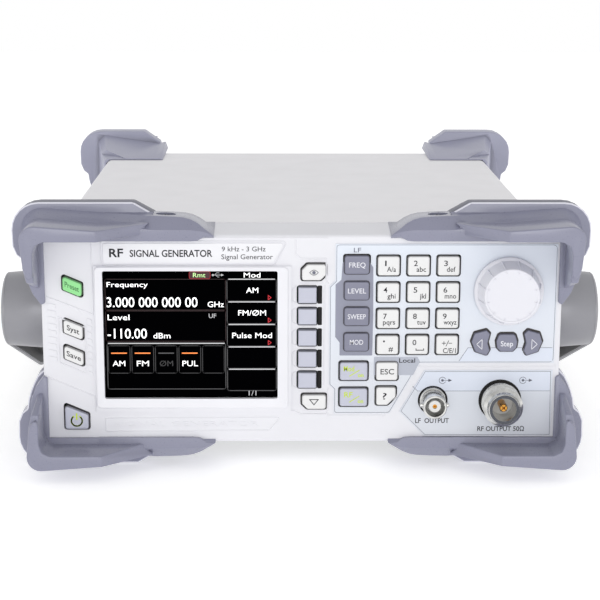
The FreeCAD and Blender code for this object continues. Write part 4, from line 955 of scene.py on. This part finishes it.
def corner_parts(front):
    """Closed parts of the upper right corner of a bumper. Heights here are from mid height."""
    tail = 60.4 if front else 66.0
    lip_arc = curve_points((104.6, 49.8), (108.6, 48.2), (110.3, 44.0))
    flange_arc = curve_points((106.0, 55.0), (114.06, 51.66), (117.4, 43.6))

    def block(points, front_depth, back_depth):
        return prism([(x, z + MIDDLE) for x, z in points], front_depth, back_depth)

    corner = lip_arc + [(110.3, 44.0), (109.2, 33.0), (108.3, 30.4), (106.9, 28.9), (105.7, 29.3), (105.3, 31.0),
                        (105.3, 38.6), (104.2, 42.0), (101.2, 43.5)]
    start = 61.0 if front else 77.0
    face = [(80.3, 43.5, -18.2), (start + 3.6, 43.4, -1.7), (start + 3.0, 45.6, -1.8), (start, 48.2, -1.8),
            (80.3, 48.0, -18.2),
            (104.6, 49.8, -18.2)] + [(x, z, -18.2) for x, z in corner]
    lip = skin([[(x, d, z + MIDDLE) for x, z, d in face], [(x, 2.0, z + MIDDLE) for x, z, d in face]])
    lip.verts.ensure_lookup_table()
    bmesh.ops.connect_verts(lip, verts=[lip.verts[0], lip.verts[4]])
    heel = [(105.3, 27.0), (108.2, 27.0), (109.6, 33.0), (109.6, 36.0), (105.3, 36.0)]
    heel_low = [(105.3, 20.5), (107.2, 21.0), (109.0, 28.0), (109.6, 36.0), (105.3, 36.0)]
    arm = skin([[(x, -16.2, z + MIDDLE) for x, z in heel], [(x, 2.0, z + MIDDLE) for x, z in heel_low]])
    outline = ([(start + 1.8, 45.3), (start + 1.8, 48.0), (80.3, 48.0), (104.6, 49.8)] + lip_arc
               + [(110.3, 44.0), (109.4, 25.0), (105.3, 25.0), (105.3, 45.3)])
    plates = block(outline, -1.2, 8.6)
    spread = grown([Vector(p) for p in outline], 1.0)
    cove = []
    for depth, amount in ((0.6, 0.04), (3.2, 0.5), (5.8, 1.5), (8.5, 3.1)):
        loop = []
        for (x, z), wide in zip(outline, spread):
            keep = x <= 105.3 and z <= 45.3
            wide_z = z if z < 30.0 else wide.y
            loop.append((x if keep else min(x + (wide.x - x) * amount, 111.4 if z < 30.0 else 118.0), depth,
                         MIDDLE + (z if keep else z + (wide_z - z) * amount)))
        cove.append(loop)
    end = [(tail - 1.0, 50.0), (tail + 7.6, 55.0)] if front else [(tail + 7.6, 48.9), (tail + 16.2, 55.0)]
    flange = ([(end[0][0], 45.3)] + end + [(106.0, 55.0)] + flange_arc
              + [(117.4, 43.6), (117.2, 36.8), (115.7, 33.2), (113.4, 31.4), (112.9, 27.6), (111.9, 24.1),
                 (110.6, 20.8), (108.9, 17.5), (106.8, 15.4), (105.3, 14.4), (105.3, 45.3)])
    flange_back = [(x, z - 0.3 if z > 50 else z) for x, z in flange]
    plate = skin([[(x, 8.2, z + MIDDLE) for x, z in flange], [(x, 17.7, z + MIDDLE) for x, z in flange_back]])
    foot = tail + (9.0 if front else 3.4)
    ramp_near = [(foot, 45.4), (foot + 1.4, 49.2), (foot + 4.6, 48.4), (104.0, 52.8), (107.6, 49.4),
                 (107.6, 26.0), (98.85, 26.0), (98.85, 43.4), (96.9, 45.4)]
    ramp_far = [(foot, 45.4), (foot + 1.4, 46.1), (foot + 4.6, 46.1), (98.2, 46.1), (99.8, 44.4),
                (99.8, 28.0), (98.85, 28.0), (98.85, 43.4), (96.9, 45.4)]
    ramp = skin([[(x, 16.0, z + MIDDLE) for x, z in ramp_near], [(x, 62.0, z + MIDDLE) for x, z in ramp_far]])
    strip = block([(98.85, 0), (104.6, 0), (104.6, 46), (98.85, 46)], 16.5, 24.0)
    parts = [(lip, 0.6), (arm, 0.5), (plates, 0.0), (skin(cove), 0.0), (plate, 0.6), (ramp, 0.5), (strip, 0.0)]
    if front:
        side = block([(103.3, 42.5), (103.3, 15.6), (104.8, 14.8), (108.2, 19.5), (110.4, 25.5), (110.4, 43.0)],
                     -1.5, 8.6)
        parts.append((side, 0.4))
    return parts


def turned_mesh(mesh, side, front, flip):
    """Put a corner's mesh in its own place: other side, underside, or the back."""
    matrix = Matrix.Identity(4)
    if flip:
        matrix = Matrix.Translation((0, 0, 2 * MIDDLE * MM)) @ Matrix.Diagonal((1, 1, -1, 1)) @ matrix
    if side < 0:
        matrix = Matrix.Diagonal((-1, 1, 1, 1)) @ matrix
    if not front:
        pivot = (FRONT + CASE_DEPTH / 2) * MM
        matrix = Matrix.Translation((0, 2 * pivot, 0)) @ Matrix.Diagonal((1, -1, 1, 1)) @ matrix
    mesh.transform(matrix)
    if matrix.determinant() < 0:
        bmesh.ops.reverse_faces(mesh, faces=mesh.faces)
    return mesh


CASE_DEPTH = 262.2                   # the case between its front and rear bumpers' faces
SCREW_X, SCREW_D = 55.0, 10.3        # the screw through each front bumper
SCREW_SEAT = 47.45                   # its seat, above and below mid height


def post(x, d, radius, low, high):
    """An upright round post."""
    return skin([[(px, pd, level) for px, pd in circle(radius, 32, x, d)] for level in (low, high)])


# the long tail over the bezel, section by section: sideways place, top, foot, then the depth and height
# where its front starts to lean back, and the depth it reaches at the top; heights from mid height
TAIL = ((35.4, 43.2, 43.1, -1.9, 43.15, -1.7), (37.0, 44.4, 43.4, -1.9, 43.9, -1.3),
        (39.1, 45.8, 43.0, -1.9, 44.6, -0.6), (40.4, 46.8, 42.0, -1.9, 44.9, 0.0),
        (41.8, 47.8, 41.2, -1.9, 45.1, 0.9), (44.6, 49.1, 40.9, -1.9, 45.4, 1.8),
        (47.4, 49.8, 40.9, -1.9, 45.4, 2.4), (53.0, 50.2, 40.9, -1.9, 45.4, 2.7),
        (60.0, 50.4, 40.9, -1.9, 45.4, 2.9), (66.0, 50.5, 40.9, -1.5, 46.2, 4.2),
        (73.0, 50.7, 40.9, 0.0, 46.8, 6.2), (83.0, 50.9, 40.9, 2.4, 47.6, 8.4))


def tail_parts():
    """The front bumper's tail: a slab over the bezel that thins to a tip, with a skirt down its front."""
    layers = []
    for x, top, foot, lean, lean_z, edge in TAIL:
        section = [(-1.9, foot), (-1.9, min(lean_z - 0.02, 45.0)), (lean, lean_z), (edge, top),
                   (18.0, max(top - 0.6, 45.3)), (18.0, 44.6),
                   (-0.1, 42.0), (-0.1, min(foot, 41.9))]
        layers.append([(x, d, MIDDLE + z) for d, z in section])
    skirt = prism([(82.3, MIDDLE + 41.0), (104.6, MIDDLE + 41.0), (104.6, MIDDLE + 45.05),
                   (82.3, MIDDLE + 45.05)], -1.86, -0.12)
    return [(skin(layers), 0.45), (skirt, 0.3)]


def make_bumper(name, side, front):
    """Both corners of one bumper: front ones carry a screw well, rear ones a pocket."""
    shape = Shape()
    # painted light: the rear bumpers take the lighter copy of the bumper plastic
    tone = "bumper" if front else "bumper_painted_light"
    for flip in (False, True):
        if front:
            cutter = post(SCREW_X, SCREW_D, 4.1, MIDDLE + 47.5, MIDDLE + 52.0)
        else:
            plan = [(89.0, 76.0), (89.0, 62.2), (92.5, 54.2), (104.4, 41.6), (106.2, 46.0), (106.2, 76.0)]
            cutter = skin([[(x, d, MIDDLE + z) for x, d in plan] for z in (45.9, 52.0)])
        mesh = combined(corner_parts(front) + (tail_parts() if front else []), cutter)
        shape.add(turned_mesh(mesh, side, front, flip), tone)
        if front:
            head = post(SCREW_X, SCREW_D, 3.0, MIDDLE + 47.3, MIDDLE + 48.6)
            shape.add(turned_mesh(head, side, front, flip), "nickel")
    # painted highlight on the flange's top front bevel, painted shade on the flange's top behind it
    shine, shade = shape.slot("bumper_shine"), shape.slot("bumper_shade")
    for face in shape.mesh.faces if front else ():
        middle = face.calc_center_median() / MM
        depth = middle.y - FRONT
        if 8.15 < depth < 9.0 and -0.97 < face.normal.y < -0.2:
            face.material_index = shine
        elif 9.0 < depth < 17.6 and face.normal.z > 0.4 and middle.z > MIDDLE + 50.6:
            face.material_index = shade
    shape.finish("shell_" + name, "case", [name], angle=40)


# ---------------------------------------------------------------- handle, screws, rear

HUB_D, HUB_Z = 58.6, 54.4
ARM_IN, ARM_OUT = 127.2, 130.75
GRIP_NEAR, GRIP_FAR, GRIP_TOP, GRIP_FOOT = 229.6, 241.6, -33.8, -51.8


def about_hub(side, levels):
    """Rings across the handle: each level is a sideways place and a loop of (back, up) from the pivot."""
    return skin([[(side * x, HUB_D + p[0], HUB_Z + p[1]) for p in loop] for x, loop in levels])


def arm_outline(inset):
    """The arm's side outline: round nose, straight run down and back, easy bend, level run to the grip."""
    corners = [(-5.6, -15.0), (92.0, GRIP_FOOT), (GRIP_FAR, GRIP_FOOT), (GRIP_FAR, GRIP_TOP), (106.1, -29.9),
               (5.6, 15.0)]
    inner = grown([Vector(p) for p in corners], -inset)
    tight = max(0.4, 4.0 - inset)
    bend = rounded([(p.x, p.y) for p in inner], [0, 76.0 - inset, tight, tight, 70.0 + inset, 0], 8)
    return [Vector(p) for p in arc_points(0, 0, 16.0 - inset, 69.5, 249.5, 24)] + bend[1:-1]


def make_handle():
    """Drums with crowned ends, cranked arms with an open inner side, and the cross grip."""
    shape = Shape()
    for side in (-1, 1):
        drum = ((100.9, 16.6), (101.4, 17.1), (114.5, 17.1), (127.3, 16.05), (128.1, 15.55), (128.7, 14.5),
                (129.4, 11.8), (130.0, 8.7), (130.45, 5.6), (130.7, 2.6), (ARM_OUT, 0.6))
        shape.add(about_hub(side, [(x, circle(radius, 64)) for x, radius in drum]), "handle")
        crown = ((ARM_IN, 0.35), (ARM_IN + 0.3, 0.0), (127.9, 0.0), (128.5, 0.5), (128.95, 1.5), (129.5, 4.0),
                 (130.0, 7.0))
        shape.add(about_hub(side, [(x, arm_outline(inset)) for x, inset in crown]), "handle")
        shape.add(about_hub(side, [(ARM_IN - 0.3, arm_outline(1.4)), (ARM_IN + 0.1, arm_outline(1.2))]), "black")
        rib = rounded([(0, 5.0), (97.0, GRIP_FOOT + 15.4), (GRIP_FAR - 8, GRIP_FOOT + 14),
                       (GRIP_FAR - 8, GRIP_FOOT + 4), (95.0, GRIP_FOOT + 4.8), (0, -5.0)],
                      [0, 40, 0, 0, 40, 0], 6)
        shape.add(about_hub(side, ((118.6, grown(rib, -0.5)), (119.1, rib), (ARM_IN + 0.4, rib))), "black")
    grip = rounded([(GRIP_NEAR, GRIP_FOOT), (GRIP_FAR, GRIP_FOOT), (GRIP_FAR, GRIP_TOP), (GRIP_NEAR, GRIP_TOP)],
                   3.6, 6)
    shape.add(about_hub(1, [(-127.6, grown(grip, -0.4)), (-120.0, grip), (120.0, grip),
                            (127.6, grown(grip, -0.4))]), "handle")
    for number in range(15):
        x = -56.0 + number * 8.0
        shape.add(about_hub(1, [(x - 1.7, grown(grip, -0.3)), (x - 1.2, grown(grip, 0.32)),
                                (x + 1.2, grown(grip, 0.32)), (x + 1.7, grown(grip, -0.3))]), "handle")
    shape.finish("swing_handle", "handle", ["carry_handle"], angle=32)


SCREW_PROFILE = ((2.85, 0.0), (2.9, 0.5), (2.75, 1.1), (2.3, 1.6), (1.5, 1.9), (0.9, 1.98))
CROSS = ((-1.5, -0.28), (1.5, -0.28), (1.5, 0.28), (-1.5, 0.28))


def screw(shape, x, d, z, turn, axis="X"):
    """A pan-head screw with a cross recess, its seat at a panel point, turned from pointing up."""
    def place(*point):
        return Vector(point)

    seat = Matrix.Translation(at(x, d, z)) @ Matrix.Rotation(turn, 4, axis)
    scale = Matrix.Diagonal((MM, MM, MM, 1))
    head = [[(px, py, height) for px, py in circle(radius, 28)] for radius, height in SCREW_PROFILE]
    shape.add(skin(head, place=place), "steel", seat @ scale)
    # the cross recess is painted shade
    for angle in (20, 110):
        bar = skin([[(px, py, 1.2) for px, py in CROSS], [(px * 0.9, py, 2.02) for px, py in CROSS]], place=place)
        shape.add(bar, "slot", seat @ Matrix.Rotation(math.radians(angle), 4, "Z") @ scale)


def make_screws():
    shape = Shape()
    for side in (-1, 1):
        screw(shape, side * SCREW_X, SCREW_D, MIDDLE + SCREW_SEAT, 0)
        screw(shape, side * SCREW_X, SCREW_D, MIDDLE - SCREW_SEAT, math.pi)
        for z in (19.0, 91.0):
            screw(shape, side * 91.0, 246.0, z, -math.pi / 2)
    shape.finish("screw_heads", "case", ["case_screws"], angle=40)


def make_port_shells():
    """Metal shells with dark mouths over the two data ports at the back."""
    def outline(inset, radius):
        return rounded(box_points(left + inset, bottom + inset, left + wide - inset, bottom + tall - inset), radius)

    shape = Shape()
    for left, bottom, wide, tall in ((-30.0, 23.6, 12.0, 11.0), (-8.0, 23.6, 16.0, 13.5)):
        outer, inner = outline(-0.1, 0.5), outline(0.9, 0.3)
        shape.add(skin([flat(loop, depth) for loop, depth in (
            (outer, 244.0), (outer, 247.3), (inner, 247.3), (inner, 246.75))], ends=False), "nickel")
        shape.add(prism(outline(0.7, 0.3), 246.5, 246.9), "black")
    shape.finish("data_ports", "case", angle=40)


make_panel_trim()
make_prints()
make_screen()
make_knob()
make_n_socket()
make_bnc_socket()
for end, front in (("front", True), ("rear", False)):
    for hand, side in (("left", -1), ("right", 1)):
        make_bumper("%s_%s_bumper" % (end, hand), side, front)
make_handle()
make_screws()
make_port_shells()

PAINTED = {
    "bezel": ["front_bezel"], "film": ["keypad_overlay"], "film_low": ["connector_overlay"],
    "cover": ["top_cover"], "rear": ["rear_panel"], "nickel": ["rear_sockets"],
    "steel": ["bottom_chassis", "handle_pivots"], "board": ["key_board", "main_board", "power_supply"],
    "black": ["display_module", "knob_encoder", "fan_frame", "fan_rotor", "mains_inlet"]}
for key, nodes in PAINTED.items():
    for node in nodes:
        materials = frame["nodes"][node].data.materials
        materials.clear()
        materials.append(M[key])


# ---------------------------------------------------------------- stage, light and camera

def make_stage():
    """A plain white floor, slightly lit by itself so that it stays pale."""
    reach, drop = 2.2, -0.0003
    mesh = bmesh.new()
    mesh.faces.new([mesh.verts.new((x, y, drop)) for x, y in box_points(-reach, -reach, reach, reach)])
    data = mesh_data("floor", mesh)
    white = surface("floor_white", (0.9, 0.9, 0.9, 1), 0.85, vary=0.004, grain=300, bump=0.02, specular=0.2)
    shader = white.node_tree.nodes["Principled BSDF"]
    shader.inputs["Emission Color"].default_value = (1, 1, 1, 1)
    shader.inputs["Emission Strength"].default_value = 0.42
    data.materials.append(white)
    link("floor", data)


def make_light():
    """A white studio that is brightest round the horizon, with one broad frontal light."""
    world = bpy.data.worlds.new("studio")
    bpy.context.scene.world = world
    world.use_nodes = True
    nodes, links = world.node_tree.nodes, world.node_tree.links
    height = height_of(nodes, links, "Generated")
    level = mapped(nodes, links, height, From_Min=0.05, From_Max=0.8, To_Min=1.0, To_Max=0.72)
    links.new(level, nodes["Background"].inputs["Strength"])
    nodes["Background"].inputs["Color"].default_value = (1, 1, 1, 1)
    data = bpy.data.lights.new("front_soft", "AREA")
    data.shape = "RECTANGLE"
    data.size, data.size_y, data.energy = 1.0, 0.5, 5.5
    lamp = link("front_soft", data)
    lamp.location = place = Vector((0.0, -1.9, 0.35))
    lamp.rotation_euler = (Vector((0, 0, 0.05)) - place).to_track_quat("-Z", "Y").to_euler()
    bpy.context.scene.view_settings.view_transform = "Standard"


def make_camera():
    pitch, yaw, roll = math.radians(12.92), math.radians(0.88), math.radians(0.17)
    forward = Vector((math.sin(yaw) * math.cos(pitch), math.cos(yaw) * math.cos(pitch), -math.sin(pitch)))
    right = Vector((math.cos(yaw), -math.sin(yaw), 0))
    up = right.cross(forward)
    right, up = (right * math.cos(roll) + up * math.sin(roll)), (up * math.cos(roll) - right * math.sin(roll))
    data = bpy.data.cameras.new("camera")
    data.sensor_width = 36.0
    data.lens = 96.3
    data.clip_start, data.clip_end = 0.01, 20.0
    camera = link("camera", data)
    camera.matrix_world = Matrix.Translation(at(-10.57, -630.25, 216.13)) @ Matrix(
        (right, up, -forward)).transposed().to_4x4()
    bpy.context.scene.camera = camera


make_stage()
make_light()
make_camera()
